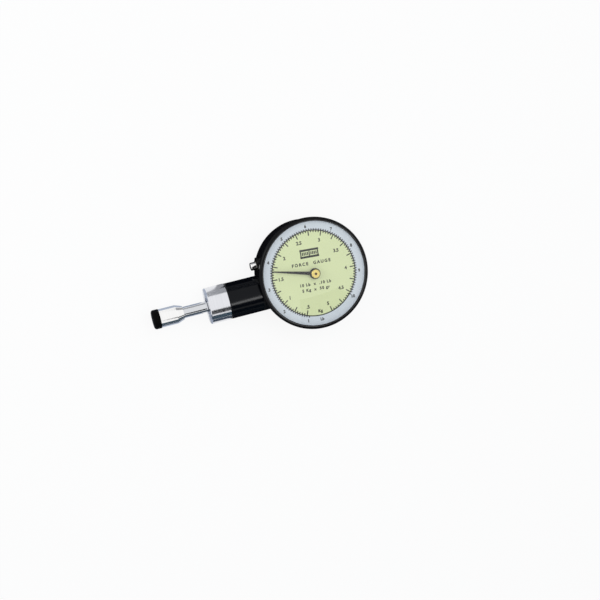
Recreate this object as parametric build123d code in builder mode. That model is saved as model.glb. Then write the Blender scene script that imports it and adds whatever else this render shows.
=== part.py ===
from build123d import *
from math import acos, atan2, ceil, cos, degrees, pi, radians, sin, sqrt, tan
import os

# Dial force gauge. A plunger compresses a coil spring and carries a rack, and the rack turns the
# pointer through a rack pinion, a wheel and a centre pinion.
# Millimetres. +X runs along the barrel away from the tip, +Y towards the top of the dial, +Z out of
# the dial. The origin is the centre of the back cover's outer face, on the pointer's axis.

os.makedirs("parts", exist_ok=True)

# ---- driving dimensions ------------------------------------------------------------------------
# clearances
RUN = 0.05                # radial running clearance of a shaft in its bush
NIP = 0.02                # easing of a press fit or thread
SEAT = 0.1                # space where a moving part stops against another
GAP = 0.3                 # space between parts that pass each other
CHAMFER = 0.4             # broken edge of a turned part
EDGE = 0.25               # broken edge of a thin part

# barrel and collar: the barrel's diameter sets the depth of the case
BARREL_Y = -5.15
BARREL_R = 9.83
BARREL_WALL = 1.93
BARREL_LENGTH = 18.15
BARREL_FLOOR_GAP = 0.47   # barrel above the surface that the back cover stands on
CASE_NOSE_WALL = 0.8      # nose of the case that the barrel screws over
CASE_NOSE_LENGTH = 3.5
NOSE_WALL = 1.0           # nose of the barrel that the collar screws over
NOSE_LENGTH = 5.6
COLLAR_PROUD = 0.14       # collar's surface above the barrel's
COLLAR_LENGTH = 11.25
BUSH_WALL = 1.6
BUSH_FLANGE = 1.0
BUSH_INSET = 0.6          # front bush inside the collar's end face

# case and back cover
CASE_R = 28.5
CASE_WALL = 1.9
BOSS_PROUD = 1.0          # barrel's boss beyond the case's wall
BULKHEAD_DEPTH = 1.0      # bottom of the spring's bore inside the boss's face
BULKHEAD_THICK = 4.3
COVER_THICK = 1.6
COVER_EDGE = 1.0
LIP_TALL = 1.2            # lip that centres the cover in the case
LIP_WALL = 1.0
LEDGE_WIDE = 7.1          # ledge that the movement hangs from
LEDGE_THICK = 1.6
NECK_STEP = 1.3           # neck inside the case's wall, that the bezel turns on
NECK_TALL = 1.6
COVER_SCREWS = 4
COVER_SCREW_R = 0.9
COVER_HEAD_WIDE = 0.9     # head beyond the shank
COVER_BOSS_WALL = 1.2
COVER_SCREW_GRIP = 6.0    # length held in the boss
SLOT_WIDE = 0.5           # screwdriver slot

# plunger
ROD_R = 3.03
ROD_SHOWS = 13.4          # rod between the collar and the tip holder
ROD_END_SPACE = 1.6       # rod's inner end to the rack pinion, pressed right in
ROD_THREAD = 7.5          # length of rod inside the holder
HOLDER_WALL = 0.62
HOLDER_CONE = 3.7
HOLDER_R = 4.98
HOLDER_LENGTH = 12.9
TIP_PROUD = 0.27
TIP_LENGTH = 3.8
TIP_EDGE = 1.3
PLUG_WALL = 2.38
PLUG_LENGTH = 3.6

# travel: the plunger is drawn where the pointer reads 1.657 kg of 5 kg
FULL_TRAVEL = 10.0
FULL_KG = 5.0
READING_KG = 1.657

# main spring, and its seat and clip on the rod
SPRING_WIRE_R = 0.8
SPRING_SPACE = 0.5        # coils inside the barrel's bore
SPRING_TURNS = 6
SPRING_SEAT_THICK = 1.6
CLIP_THICK = 0.6
CLIP_DEPTH = 0.4          # depth of a clip's groove
CLIP_WIDE = 1.4           # clip beyond its shaft
CLIP_MOUTH = 1.6          # opening of a clip

# rack, pinions and wheel
PRESSURE = radians(20)
BACKLASH = 0.07
RACK_PITCH = 1.0
RACK_THICK = 3.0
RACK_OFFSET = 1.2         # pitch line above the barrel's axis
RACK_DEPTH = 3.45         # pitch line to the rack's back
RACK_TANG = 6.6           # length let into the rod
SPARE_TEETH = 2           # rack teeth beyond the travel at each end
RACK_PIN_R = 0.6
PINION_TEETH = 16
PINION_PROUD = 0.2        # pinion beyond the rack's faces
WHEEL_TEETH = 32
CENTRE_TEETH = 20
TRAIN_MODULE = 0.4
WHEEL_THICK = 0.8
WHEEL_RIM = 0.9
WHEEL_SPOKES = 4
SPOKE_WIDE = 1.0
HUB_WALL = 0.75
HUB_BOSS_TALL = 1.0
ARBOR_R = 1.15
PIVOT_R = 0.7
GUIDE_WIDE = 6.4
GUIDE_WALL = 1.8
GUIDE_FOOT = 2.6
GUIDE_FOOT_THICK = 1.2
GUIDE_SCREW_R = 0.6
GUIDE_SCREW_SPREAD = 2.0

# movement plates, pillars and bushes
FRONT_PLATE_THICK = 1.6
FRONT_PLATE_LAP = 3.0     # front plate over the ledge
FRONT_SPACE = 0.37        # wheel to front plate
REAR_PLATE_THICK = 1.2
REAR_PLATE_STEP = 1.0     # rear plate inside the front plate's edge
REAR_SPACE = 0.8          # rear plate to brake wheel
PILLAR_R = 1.7
RIVET_R = 0.8
PILLAR_INSET = 2.6        # pillars inside the ledge's inner edge
PILLAR_ANGLES = (35, -50, -110, 78)
PILLAR_SCREW_R = 0.8
PILLAR_SCREW_GRIP = 3.0
MOVEMENT_SCREW_INSET = 1.5
MOVEMENT_ANGLES = (75, 195, 315)
MOVEMENT_SCREW_R = 0.7
MOVEMENT_SCREW_GRIP = 1.2
SCREW_HEAD_WIDE = 0.5
SCREW_HEAD_TALL = 0.8
ARBOR_BUSH_WALL = 0.85

# hairspring in front of the front plate
HAIR_SPACE = 0.8
HAIR_TALL = 0.7
HAIR_WIDE = 0.25
HAIR_TURNS = 4
HAIR_OUTER_R = 6.6
COLLET_WALL = 0.88
STUD_R = 0.7

# peak hold: a shoe on a sprung lever grips the brake wheel one way
BRAKE_R = 7.0
BRAKE_THICK = 1.0
BRAKE_BELOW_RACK = 1.2    # brake wheel's top below the rack
BRAKE_HOLES = 5
BRAKE_HOLE_R = 1.3
LEVER_X = -9.0
LEVER_TAIL = 6.5          # pivot above the button's axis
LEVER_REACH = 7.6         # pivot to the face that the button pushes
LEVER_POST_R = 1.0
LEVER_HUB_WALL = 1.05
LEVER_WIDE = 2.0
SHOE_WIDE = 3.0
SHOE_TALL = 1.2
TAB_THICK = 1.2
TAB_WIDE = 2.8
BRAKE_SPRING_R = 0.9
BRAKE_SPRING_LENGTH = 4.1
BRAKE_SPRING_TURNS = 4
FINE_WIRE_R = 0.15
SPRING_POST_R = 0.9

# reset button
BUTTON_R = 2.2
BUTTON_PROUD = 3.0        # button beyond its bush
BUTTON_BUSH_WALL = 0.85
BUTTON_BUSH_LENGTH = 5.6
BUTTON_BUSH_PROUD = 1.5   # bush beyond the case's wall
BUTTON_BOSS_WALL = 1.18
BUTTON_BOSS_STEP = 0.6    # bush beyond its boss
BUTTON_SPACE = 1.02       # boss to barrel
STEM_R = 1.2
STEM_SPACE = 0.4          # stem's end to the lever
BUTTON_CLIP_WIDE = 0.7
RESET_POCKET = 3.8        # depth of the spring's pocket in the bush
RESET_SPRING_LENGTH = 3.2
RESET_TURNS = 3

# bezel, dial and crystal
BEZEL_PROUD = 1.9         # bezel beyond the case's wall
LIP_INSET = 0.2           # inner edge of the bezel's lip inside the case's wall
LIP_THICK = 0.6
DIAL_LAP = 0.8            # dial and crystal under the lip
DIAL_THICK = 0.7
DIAL_SHELF = 0.1
DIAL_HOLE_SPACE = 1.2
BEZEL_SHOULDER = 0.95     # height of the rounded shoulder
SEAL_TALL = 0.6
CRYSTAL_RISE = 4.45
CRYSTAL_THICK = 0.95
SNAP_RING_WIDE = 0.8
SNAP_RING_DROP = 0.7      # ring below the top of the neck
SNAP_RING_SPLIT = 24      # degrees left open

# pointer
POINTER_RISE = 1.6        # pointer above the dial
POINTER_BOSS_STEP = 0.6   # black boss beyond the brass hub
POINTER_BOSS_TALL = 1.1
POINTER_THICK = 0.35
POINTER_INSET = 4.9       # pointer's end inside the bezel's lip
POINTER_ROOT_WIDE = 2.0
POINTER_TIP_WIDE = 0.5
POINTER_ANGLE = 164.3
POINTER_HUB_R = 2.3
POINTER_HUB_TALL = 1.3

# ---- sizes worked out from them ----------------------------------------------------------------
pressed = FULL_TRAVEL * READING_KG / FULL_KG

# radii of the head
case_inner_r = CASE_R - CASE_WALL
neck_r = CASE_R - NECK_STEP
neck_inner_r = neck_r - CASE_WALL
ledge_inner_r = case_inner_r - LEDGE_WIDE
front_plate_r = ledge_inner_r + FRONT_PLATE_LAP
rear_plate_r = front_plate_r - REAR_PLATE_STEP
cover_boss_r = COVER_SCREW_R + COVER_BOSS_WALL
cover_boss_ring_r = case_inner_r - cover_boss_r + EDGE
cover_head_r = COVER_SCREW_R + COVER_HEAD_WIDE
bezel_r = CASE_R + BEZEL_PROUD
lip_r = CASE_R - LIP_INSET
dial_r = lip_r + DIAL_LAP
rim_r = dial_r + NIP
skirt_inner_r = neck_r + SEAT

# radii on the barrel's axis
bore_r = BARREL_R - BARREL_WALL
case_nose_r = bore_r + CASE_NOSE_WALL
nose_r = bore_r + NOSE_WALL
collar_r = BARREL_R + COLLAR_PROUD
bush_r = ROD_R + BUSH_WALL
flange_r = bore_r - GAP
spring_r = bore_r - SPRING_SPACE - SPRING_WIRE_R
seat_clip_r = ROD_R + CLIP_WIDE
holder_small_r = ROD_R + HOLDER_WALL
tip_r = HOLDER_R + TIP_PROUD
plug_r = HOLDER_R - PLUG_WALL

# heights, from the barrel's axis to the movement, and from the barrel's top to the head
barrel_z = BARREL_R + BARREL_FLOOR_GAP
rack_low_z = barrel_z - RACK_THICK / 2
pinion_wide = RACK_THICK + 2 * PINION_PROUD
wheel_z = barrel_z + ROD_R + GAP
front_plate_z = wheel_z + WHEEL_THICK + FRONT_SPACE
ledge_z = front_plate_z + FRONT_PLATE_THICK
ledge_top = ledge_z + LEDGE_THICK
brake_top = barrel_z - RACK_THICK / 2 - BRAKE_BELOW_RACK
brake_z = brake_top - BRAKE_THICK
rear_plate_top = brake_z - REAR_SPACE
rear_plate_z = rear_plate_top - REAR_PLATE_THICK
lip_top = COVER_THICK + LIP_TALL
boss_foot = lip_top + SEAT
boss_top = front_plate_z - 2 * GAP
hair_z = ledge_z + HAIR_SPACE
neck_top = barrel_z + BARREL_R + SEAT
neck_z = neck_top - NECK_TALL
bezel_z = neck_top + GAP
skirt_z = neck_z + 2 * SEAT
snap_ring_z = neck_top - SNAP_RING_DROP
snap_groove_half = SNAP_RING_WIDE / 2 + RUN
dial_back_z = bezel_z + DIAL_SHELF
dial_z = dial_back_z + DIAL_THICK
seal_top_z = dial_z + SEAL_TALL
lip_z = seal_top_z + CRYSTAL_THICK
bezel_top_z = lip_z + LIP_THICK
shoulder_z = bezel_top_z - BEZEL_SHOULDER
crystal_top_z = lip_z + CRYSTAL_RISE
pointer_z = dial_z + POINTER_RISE
hub_z = pointer_z + POINTER_BOSS_TALL
arbor_top_z = hub_z + POINTER_HUB_TALL + SEAT

# gear train: the rack pinion stands on the rack's pitch line and its wheel meets the centre pinion
rack_module = RACK_PITCH / pi
pinion_r = rack_module * PINION_TEETH / 2
train_r = TRAIN_MODULE * (WHEEL_TEETH + CENTRE_TEETH) / 2
pitch_line_y = BARREL_Y + RACK_OFFSET
wheel_y = pitch_line_y + pinion_r
wheel_x = -sqrt(train_r ** 2 - wheel_y ** 2)
mesh_angle = degrees(atan2(-wheel_y, -wheel_x))
rack_root_y = pitch_line_y - 1.25 * rack_module
rack_back_y = pitch_line_y - RACK_DEPTH
teeth_before = ceil((FULL_TRAVEL - pressed) / RACK_PITCH) + SPARE_TEETH
teeth_after = ceil(pressed / RACK_PITCH) + SPARE_TEETH
rack_end_x = wheel_x + (teeth_after + 1) * RACK_PITCH
guide_y = rack_back_y - RUN
hub_boss_r = ARBOR_R + HUB_WALL
arbor_bush_r = PIVOT_R + RUN + ARBOR_BUSH_WALL

# lengths along the barrel's axis
barrel_x = -CASE_R - BOSS_PROUD
bulkhead_x = barrel_x + BULKHEAD_DEPTH
bulkhead_end_x = bulkhead_x + BULKHEAD_THICK
spring_end_x = bulkhead_x - BUSH_FLANGE
barrel_end_x = barrel_x - BARREL_LENGTH
collar_end_x = barrel_end_x - COLLAR_LENGTH
collar_floor_x = barrel_end_x - NOSE_LENGTH - NIP
seat_x = collar_floor_x + SEAT + pressed
spring_start_x = seat_x + SPRING_SEAT_THICK
holder_x = collar_end_x - ROD_SHOWS
holder_end_x = holder_x - HOLDER_LENGTH
rod_tip_x = holder_x - ROD_THREAD
rod_end_x = wheel_x - pinion_r - rack_module - (FULL_TRAVEL - pressed) - ROD_END_SPACE
rack_pins_y = (rack_root_y + rack_back_y) / 2
rack_pins_x = (rod_end_x - RACK_TANG / 4, rod_end_x - RACK_TANG * 3 / 4)
rack_pin_reach = sqrt(ROD_R ** 2 - (abs(rack_pins_y - BARREL_Y) + RACK_PIN_R) ** 2)
rack_pin_long = 2 * rack_pin_reach - SEAT

# peak hold and reset button
shoe_top_y = BRAKE_R + SEAT + SHOE_TALL
button_bush_r = BUTTON_R + RUN + BUTTON_BUSH_WALL
button_boss_r = button_bush_r + NIP + BUTTON_BOSS_WALL
button_y = BARREL_Y + BARREL_R + BUTTON_SPACE + button_boss_r
button_wall_x = -sqrt(CASE_R ** 2 - button_y ** 2)
button_bush_x = button_wall_x - BUTTON_BUSH_PROUD
button_boss_x = button_bush_x + BUTTON_BOSS_STEP
button_bush_end_x = button_bush_x + BUTTON_BUSH_LENGTH
button_end_x = button_bush_x - BUTTON_PROUD
button_clip_x = button_bush_end_x + SEAT
reset_seat_x = button_bush_x + RESET_POCKET
head_end_x = reset_seat_x - RESET_SPRING_LENGTH
reset_spring_r = (STEM_R + BUTTON_R) / 2
lever_y = button_y + LEVER_TAIL
lever_hub_r = LEVER_POST_R + LEVER_HUB_WALL
tab_x = LEVER_X - LEVER_REACH
tab_end_x = tab_x + TAB_THICK
stem_end_x = tab_x - STEM_SPACE
spring_post_x = tab_end_x + BRAKE_SPRING_LENGTH + SPRING_POST_R
stud_x = HAIR_OUTER_R + HAIR_WIDE / 2 + STUD_R + NIP
collet_r = PIVOT_R + NIP + COLLET_WALL
screw_head_r = PILLAR_SCREW_R + SCREW_HEAD_WIDE
brake_hole_ring_r = (hub_boss_r + BRAKE_R) / 2
clip_z = brake_top + SEAT
dial_hole_r = PIVOT_R + DIAL_HOLE_SPACE
pointer_boss_r = POINTER_HUB_R + POINTER_BOSS_STEP
pointer_length = lip_r - POINTER_INSET
button_clip_r = STEM_R + BUTTON_CLIP_WIDE
movement_ring_r = ledge_inner_r + MOVEMENT_SCREW_INSET
pillar_ring_r = ledge_inner_r - PILLAR_INSET
pillar_places = [
    (pillar_ring_r * cos(radians(angle)), pillar_ring_r * sin(radians(angle)))
    for angle in PILLAR_ANGLES]

# turned parts: profiles are (radius, height) about the dial's axis and (x, radius) about the others
dial_plane = Plane.XZ
barrel_plane = Plane(origin=(0, BARREL_Y, barrel_z), x_dir=(1, 0, 0), z_dir=(0, 0, 1))
barrel_axis = Axis((0, BARREL_Y, barrel_z), (1, 0, 0))
button_plane = Plane(origin=(0, button_y, barrel_z), x_dir=(1, 0, 0), z_dir=(0, 0, 1))
button_axis = Axis((0, button_y, barrel_z), (1, 0, 0))
ON_BASE = (Align.CENTER, Align.CENTER, Align.MIN)
movement_places = [
    (movement_ring_r * cos(radians(angle)), movement_ring_r * sin(radians(angle)))
    for angle in MOVEMENT_ANGLES]
guide_screw_places = [
    (wheel_x + side * GUIDE_SCREW_SPREAD, guide_y - GUIDE_WALL - GUIDE_FOOT / 2)
    for side in (-1, 1)]
arbor_places = [(0, 0), (wheel_x, wheel_y)]


def turned(plane, axis, points, mode=Mode.ADD):
    """Turn a closed profile about an axis, into the piece being built."""
    with BuildSketch(plane) as profile:
        with BuildLine():
            Polyline(*points, close=True)
        make_face()
    revolve(profile.sketch, axis=axis, mode=mode)


def clip(plane, axis, x, shaft_r, outer_r, mouth_at):
    """Spring clip in its groove on a shaft, open on one side."""
    turned(plane, axis, [
        (x, shaft_r - CLIP_DEPTH + NIP), (x, outer_r), (x + CLIP_THICK, outer_r),
        (x + CLIP_THICK, shaft_r - CLIP_DEPTH + NIP)])
    with Locations((x, mouth_at, barrel_z)):
        Box(CLIP_THICK, 2 * outer_r, CLIP_MOUTH, align=(Align.MIN, Align.MIN, Align.CENTER),
            mode=Mode.SUBTRACT)


def involute(angle):
    """Involute function of an angle in radians."""
    return tan(angle) - angle


def tooth_points(module, teeth):
    """Outline of a gear tooth that points along +X and is sunk into its blank."""
    base_r = module * teeth / 2 * cos(PRESSURE)
    root_r = module * (teeth / 2 - 1.25)
    tip_r = module * (teeth / 2 + 1)
    half = (pi * module / 2 - BACKLASH) / (module * teeth) + involute(PRESSURE)
    foot_r = max(base_r, root_r)
    foot_half = half - involute(acos(base_r / foot_r))
    flank = [(0.9 * root_r, foot_half), (foot_r, foot_half)]
    for step in (1, 2, 3):
        radius = foot_r + (tip_r - foot_r) * step / 3
        flank.append((radius, half - involute(acos(base_r / radius))))
    upper = [(radius * cos(angle), radius * sin(angle)) for radius, angle in flank]
    return upper + [(x, -y) for x, y in reversed(upper)]


def gear(module, teeth, first_angle, centre):
    """Toothed outline added to the sketch, with one tooth at first_angle in degrees."""
    with BuildSketch(mode=Mode.PRIVATE) as tooth:
        with BuildLine():
            Polyline(*tooth_points(module, teeth), close=True)
        make_face()
    with Locations(centre):
        Circle(module * (teeth / 2 - 1.25))
        with PolarLocations(0, teeth, start_angle=first_angle):
            add(tooth.sketch)


def coil(start, length, radius, wire_r, turns):
    """Round wire wound about +X from a start point on its axis."""
    rise = length - 2 * wire_r
    with BuildLine() as winding:
        Helix(rise / turns, rise, radius, center=(start[0] + wire_r, start[1], start[2]),
              direction=(1, 0, 0))
    with BuildSketch(Plane(winding.line @ 0, z_dir=winding.line % 0)) as wire:
        RegularPolygon(wire_r, 6)
    sweep(wire.sketch, path=winding.line, is_frenet=True)


# ---- case --------------------------------------------------------------------------------------
# Die-cast ring: a wall with a ledge for the movement and a neck for the bezel, four bosses for the
# back cover, a boss with a nose for the barrel and a small boss for the reset button.
with BuildPart() as case_body:
    turned(dial_plane, Axis.Z, [
        (case_inner_r, COVER_THICK), (CASE_R, COVER_THICK), (CASE_R, neck_z), (neck_r, neck_z),
        (neck_r, neck_top), (neck_inner_r, neck_top), (neck_inner_r, ledge_top),
        (ledge_inner_r, ledge_top), (ledge_inner_r, ledge_z), (case_inner_r, ledge_z)])
    with BuildSketch(Plane.XY.offset(boss_foot)):
        with PolarLocations(cover_boss_ring_r, COVER_SCREWS, start_angle=45):
            Circle(cover_boss_r)
    extrude(amount=boss_top - boss_foot)
    turned(button_plane, button_axis, [
        (button_boss_x, 0), (button_boss_x, button_boss_r), (button_bush_end_x, button_boss_r),
        (button_bush_end_x, 0)])
    turned(barrel_plane, barrel_axis, [
        (barrel_x, 0), (barrel_x, BARREL_R), (bulkhead_end_x, BARREL_R), (bulkhead_end_x, 0)])
    # the barrel's boss stays clear of the cover and its lip, the bezel's skirt and the dial
    turned(dial_plane, Axis.Z, [
        (0, 0), (CASE_R + NIP, 0), (CASE_R + NIP, COVER_THICK), (case_inner_r, COVER_THICK),
        (case_inner_r, boss_foot), (0, boss_foot)], Mode.SUBTRACT)
    turned(dial_plane, Axis.Z, [
        (0, ledge_top), (neck_inner_r, ledge_top), (neck_inner_r, neck_top), (neck_r, neck_top),
        (neck_r, snap_ring_z + snap_groove_half), (neck_r - SNAP_RING_WIDE / 2, snap_ring_z + snap_groove_half),
        (neck_r - SNAP_RING_WIDE / 2, snap_ring_z - snap_groove_half), (neck_r, snap_ring_z - snap_groove_half),
        (neck_r, neck_z), (CASE_R + GAP, neck_z), (CASE_R + GAP, bezel_z), (0, bezel_z)], Mode.SUBTRACT)
    turned(barrel_plane, barrel_axis, [
        (barrel_x - CASE_NOSE_LENGTH, 0), (barrel_x - CASE_NOSE_LENGTH, case_nose_r - CHAMFER),
        (barrel_x - CASE_NOSE_LENGTH + CHAMFER, case_nose_r), (barrel_x, case_nose_r), (barrel_x, 0)])
    turned(barrel_plane, barrel_axis, [
        (barrel_x - CASE_NOSE_LENGTH, 0), (barrel_x - CASE_NOSE_LENGTH, bore_r),
        (bulkhead_x, bore_r), (bulkhead_x, bush_r + NIP), (bulkhead_end_x, bush_r + NIP),
        (bulkhead_end_x, 0)], Mode.SUBTRACT)
    turned(button_plane, button_axis, [
        (button_bush_x, 0), (button_bush_x, button_bush_r + NIP),
        (button_bush_end_x, button_bush_r + NIP), (button_bush_end_x, 0)], Mode.SUBTRACT)
    with Locations((0, 0, boss_foot)):
        with PolarLocations(cover_boss_ring_r, COVER_SCREWS, start_angle=45):
            Cylinder(COVER_SCREW_R + NIP, COVER_SCREW_GRIP, align=ON_BASE, mode=Mode.SUBTRACT)
    with Locations((0, 0, ledge_z)):
        with Locations(*movement_places):
            Cylinder(MOVEMENT_SCREW_R + NIP, MOVEMENT_SCREW_GRIP, align=ON_BASE, mode=Mode.SUBTRACT)
case_body.part.label = "case_body"
export_step(case_body.part, "parts/case_body.step")

# Back cover: a disc with a broken edge and a lip inside the case.
cover_head_tall = cover_head_r - COVER_SCREW_R
with BuildPart() as back_cover:
    turned(dial_plane, Axis.Z, [
        (0, 0), (CASE_R - COVER_EDGE, 0), (CASE_R, COVER_EDGE), (CASE_R, COVER_THICK),
        (case_inner_r - RUN, COVER_THICK), (case_inner_r - RUN, lip_top),
        (case_inner_r - LIP_WALL, lip_top), (case_inner_r - LIP_WALL, COVER_THICK), (0, COVER_THICK)])
    with PolarLocations(cover_boss_ring_r, COVER_SCREWS, start_angle=45):
        Cylinder(COVER_SCREW_R + RUN, lip_top, align=ON_BASE, mode=Mode.SUBTRACT)
        Cone(cover_head_r + RUN, COVER_SCREW_R + RUN, cover_head_tall, align=ON_BASE,
             mode=Mode.SUBTRACT)
back_cover.part.label = "back_cover"
export_step(back_cover.part, "parts/back_cover.step")

with BuildPart() as cover_screws:
    with Locations((0, 0, SEAT)):
        with PolarLocations(cover_boss_ring_r, COVER_SCREWS, start_angle=45):
            Cone(cover_head_r - SEAT, COVER_SCREW_R, cover_head_tall - SEAT, align=ON_BASE)
            Cylinder(COVER_SCREW_R, boss_foot + COVER_SCREW_GRIP - 2 * SEAT, align=ON_BASE)
            Box(SLOT_WIDE, 2 * cover_head_r, SLOT_WIDE, align=ON_BASE, mode=Mode.SUBTRACT)
cover_screws.part.label = "cover_screws"
export_step(cover_screws.part, "parts/cover_screws.step")

# ---- barrel, collar and bushes -----------------------------------------------------------------
with BuildPart() as barrel_tube:
    turned(barrel_plane, barrel_axis, [
        (barrel_x, case_nose_r + NIP), (barrel_x, BARREL_R - CHAMFER / 2),
        (barrel_x - CHAMFER / 2, BARREL_R), (barrel_end_x + CHAMFER / 2, BARREL_R),
        (barrel_end_x, BARREL_R - CHAMFER / 2), (barrel_end_x, nose_r),
        (barrel_end_x - NOSE_LENGTH, nose_r), (barrel_end_x - NOSE_LENGTH, bore_r),
        (barrel_x - CASE_NOSE_LENGTH - NIP, bore_r),
        (barrel_x - CASE_NOSE_LENGTH - NIP, case_nose_r + NIP)])
barrel_tube.part.label = "barrel_tube"
export_step(barrel_tube.part, "parts/barrel_tube.step")

with BuildPart() as end_collar:
    turned(barrel_plane, barrel_axis, [
        (barrel_end_x, nose_r + NIP), (barrel_end_x, collar_r - CHAMFER),
        (barrel_end_x - CHAMFER, collar_r), (collar_end_x + CHAMFER, collar_r),
        (collar_end_x, collar_r - CHAMFER), (collar_end_x, bush_r + NIP),
        (collar_floor_x, bush_r + NIP), (collar_floor_x, nose_r + NIP)])
end_collar.part.label = "end_collar"
export_step(end_collar.part, "parts/end_collar.step")

with BuildPart() as front_bush:
    turned(barrel_plane, barrel_axis, [
        (collar_floor_x, ROD_R + RUN), (collar_floor_x, bush_r), (collar_end_x + BUSH_INSET, bush_r),
        (collar_end_x + BUSH_INSET, ROD_R + RUN)])
front_bush.part.label = "front_bush"
export_step(front_bush.part, "parts/front_bush.step")

with BuildPart() as rear_bush:
    turned(barrel_plane, barrel_axis, [
        (spring_end_x, ROD_R + RUN), (spring_end_x, flange_r), (bulkhead_x, flange_r),
        (bulkhead_x, bush_r), (bulkhead_end_x, bush_r), (bulkhead_end_x, ROD_R + RUN)])
rear_bush.part.label = "rear_bush"
export_step(rear_bush.part, "parts/rear_bush.step")

# ---- plunger -----------------------------------------------------------------------------------
# Rod: one end in the tip holder, a groove for the seat's clip, and a fork that takes the rack.
with BuildPart() as plunger_rod:
    turned(barrel_plane, barrel_axis, [
        (rod_tip_x, 0), (rod_tip_x, ROD_R), (seat_x, ROD_R), (seat_x, ROD_R - CLIP_DEPTH),
        (seat_x + CLIP_THICK, ROD_R - CLIP_DEPTH), (seat_x + CLIP_THICK, ROD_R),
        (rod_end_x - CHAMFER, ROD_R), (rod_end_x, ROD_R - CHAMFER), (rod_end_x, 0)])
    with Locations((rod_end_x, BARREL_Y, barrel_z)):
        Box(RACK_TANG + NIP, 2 * ROD_R, RACK_THICK + 2 * NIP,
            align=(Align.MAX, Align.CENTER, Align.CENTER), mode=Mode.SUBTRACT)
    with Locations(*[(x, rack_pins_y, barrel_z) for x in rack_pins_x]):
        Cylinder(RACK_PIN_R + NIP, rack_pin_long + 2 * NIP, mode=Mode.SUBTRACT)
plunger_rod.part.label = "plunger_rod"
export_step(plunger_rod.part, "parts/plunger_rod.step")

# Rack: a flat bar with teeth on its upper edge, centred on the rack pinion's teeth spaces.
tooth_tip = 0.9 * rack_module
tooth_half = (RACK_PITCH / 2 - BACKLASH) / 2
tip_half = tooth_half - tooth_tip * tan(PRESSURE)
root_half = tooth_half + 1.25 * rack_module * tan(PRESSURE)
with BuildPart() as rack:
    with BuildSketch(Plane.XY.offset(rack_low_z)):
        with Locations((rack_end_x, rack_root_y)):
            Rectangle(rack_end_x - rod_end_x + RACK_TANG, rack_root_y - rack_back_y,
                      align=(Align.MAX, Align.MAX))
        for tooth in range(-teeth_before, teeth_after + 1):
            tooth_x = wheel_x + tooth * RACK_PITCH
            with BuildLine():
                Polyline((tooth_x - root_half, rack_back_y), (tooth_x - root_half, rack_root_y),
                         (tooth_x - tip_half, pitch_line_y + tooth_tip),
                         (tooth_x + tip_half, pitch_line_y + tooth_tip),
                         (tooth_x + root_half, rack_root_y), (tooth_x + root_half, rack_back_y),
                         close=True)
            make_face()
    extrude(amount=RACK_THICK)
    with Locations(*[(x, rack_pins_y, barrel_z) for x in rack_pins_x]):
        Cylinder(RACK_PIN_R + NIP, rack_pin_long, mode=Mode.SUBTRACT)
rack.part.label = "rack"
export_step(rack.part, "parts/rack.step")

with BuildPart() as rack_pins:
    with Locations(*[(x, rack_pins_y, barrel_z) for x in rack_pins_x]):
        Cylinder(RACK_PIN_R, rack_pin_long)
rack_pins.part.label = "rack_pins"
export_step(rack_pins.part, "parts/rack_pins.step")

with BuildPart() as spring_seat:
    turned(barrel_plane, barrel_axis, [
        (seat_x, seat_clip_r + RUN), (seat_x, flange_r), (spring_start_x, flange_r),
        (spring_start_x, ROD_R + NIP), (seat_x + CLIP_THICK, ROD_R + NIP),
        (seat_x + CLIP_THICK, seat_clip_r + RUN)])
spring_seat.part.label = "spring_seat"
export_step(spring_seat.part, "parts/spring_seat.step")

with BuildPart() as seat_clip:
    clip(barrel_plane, barrel_axis, seat_x, ROD_R, seat_clip_r, BARREL_Y)
seat_clip.part.label = "seat_clip"
export_step(seat_clip.part, "parts/seat_clip.step")

with BuildPart() as main_spring:
    coil((spring_start_x, BARREL_Y, barrel_z), spring_end_x - spring_start_x, spring_r,
         SPRING_WIRE_R, SPRING_TURNS)
main_spring.part.label = "main_spring"
export_step(main_spring.part, "parts/main_spring.step")

with BuildPart() as tip_holder:
    turned(barrel_plane, barrel_axis, [
        (holder_x, ROD_R + NIP), (holder_x, holder_small_r), (holder_x - HOLDER_CONE, HOLDER_R),
        (holder_end_x + CHAMFER / 2, HOLDER_R), (holder_end_x, HOLDER_R - CHAMFER / 2),
        (holder_end_x, plug_r + NIP), (holder_end_x + PLUG_LENGTH, plug_r + NIP),
        (holder_end_x + PLUG_LENGTH, 0), (rod_tip_x, 0), (rod_tip_x, ROD_R + NIP)])
tip_holder.part.label = "tip_holder"
export_step(tip_holder.part, "parts/tip_holder.step")

with BuildPart() as rubber_tip:
    turned(barrel_plane, barrel_axis, [
        (holder_end_x - TIP_LENGTH, 0), (holder_end_x - TIP_LENGTH, tip_r), (holder_end_x, tip_r),
        (holder_end_x, plug_r), (holder_end_x + PLUG_LENGTH - SEAT, plug_r),
        (holder_end_x + PLUG_LENGTH - SEAT, 0)])
    fillet(rubber_tip.edges().filter_by(GeomType.CIRCLE).sort_by(Axis.X)[0], TIP_EDGE)
rubber_tip.part.label = "rubber_tip"
export_step(rubber_tip.part, "parts/rubber_tip.step")

# ---- movement plates ---------------------------------------------------------------------------
with BuildPart() as front_plate:
    with BuildSketch(Plane.XY.offset(front_plate_z)):
        Circle(front_plate_r)
        with Locations(*arbor_places):
            Circle(arbor_bush_r + NIP, mode=Mode.SUBTRACT)
        with Locations(*pillar_places):
            Circle(RIVET_R + NIP, mode=Mode.SUBTRACT)
        with Locations(*movement_places):
            Circle(MOVEMENT_SCREW_R + RUN, mode=Mode.SUBTRACT)
        with Locations((stud_x, 0)):
            Circle(STUD_R / 2 + NIP, mode=Mode.SUBTRACT)
    extrude(amount=FRONT_PLATE_THICK)
front_plate.part.label = "front_plate"
export_step(front_plate.part, "parts/front_plate.step")

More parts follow.
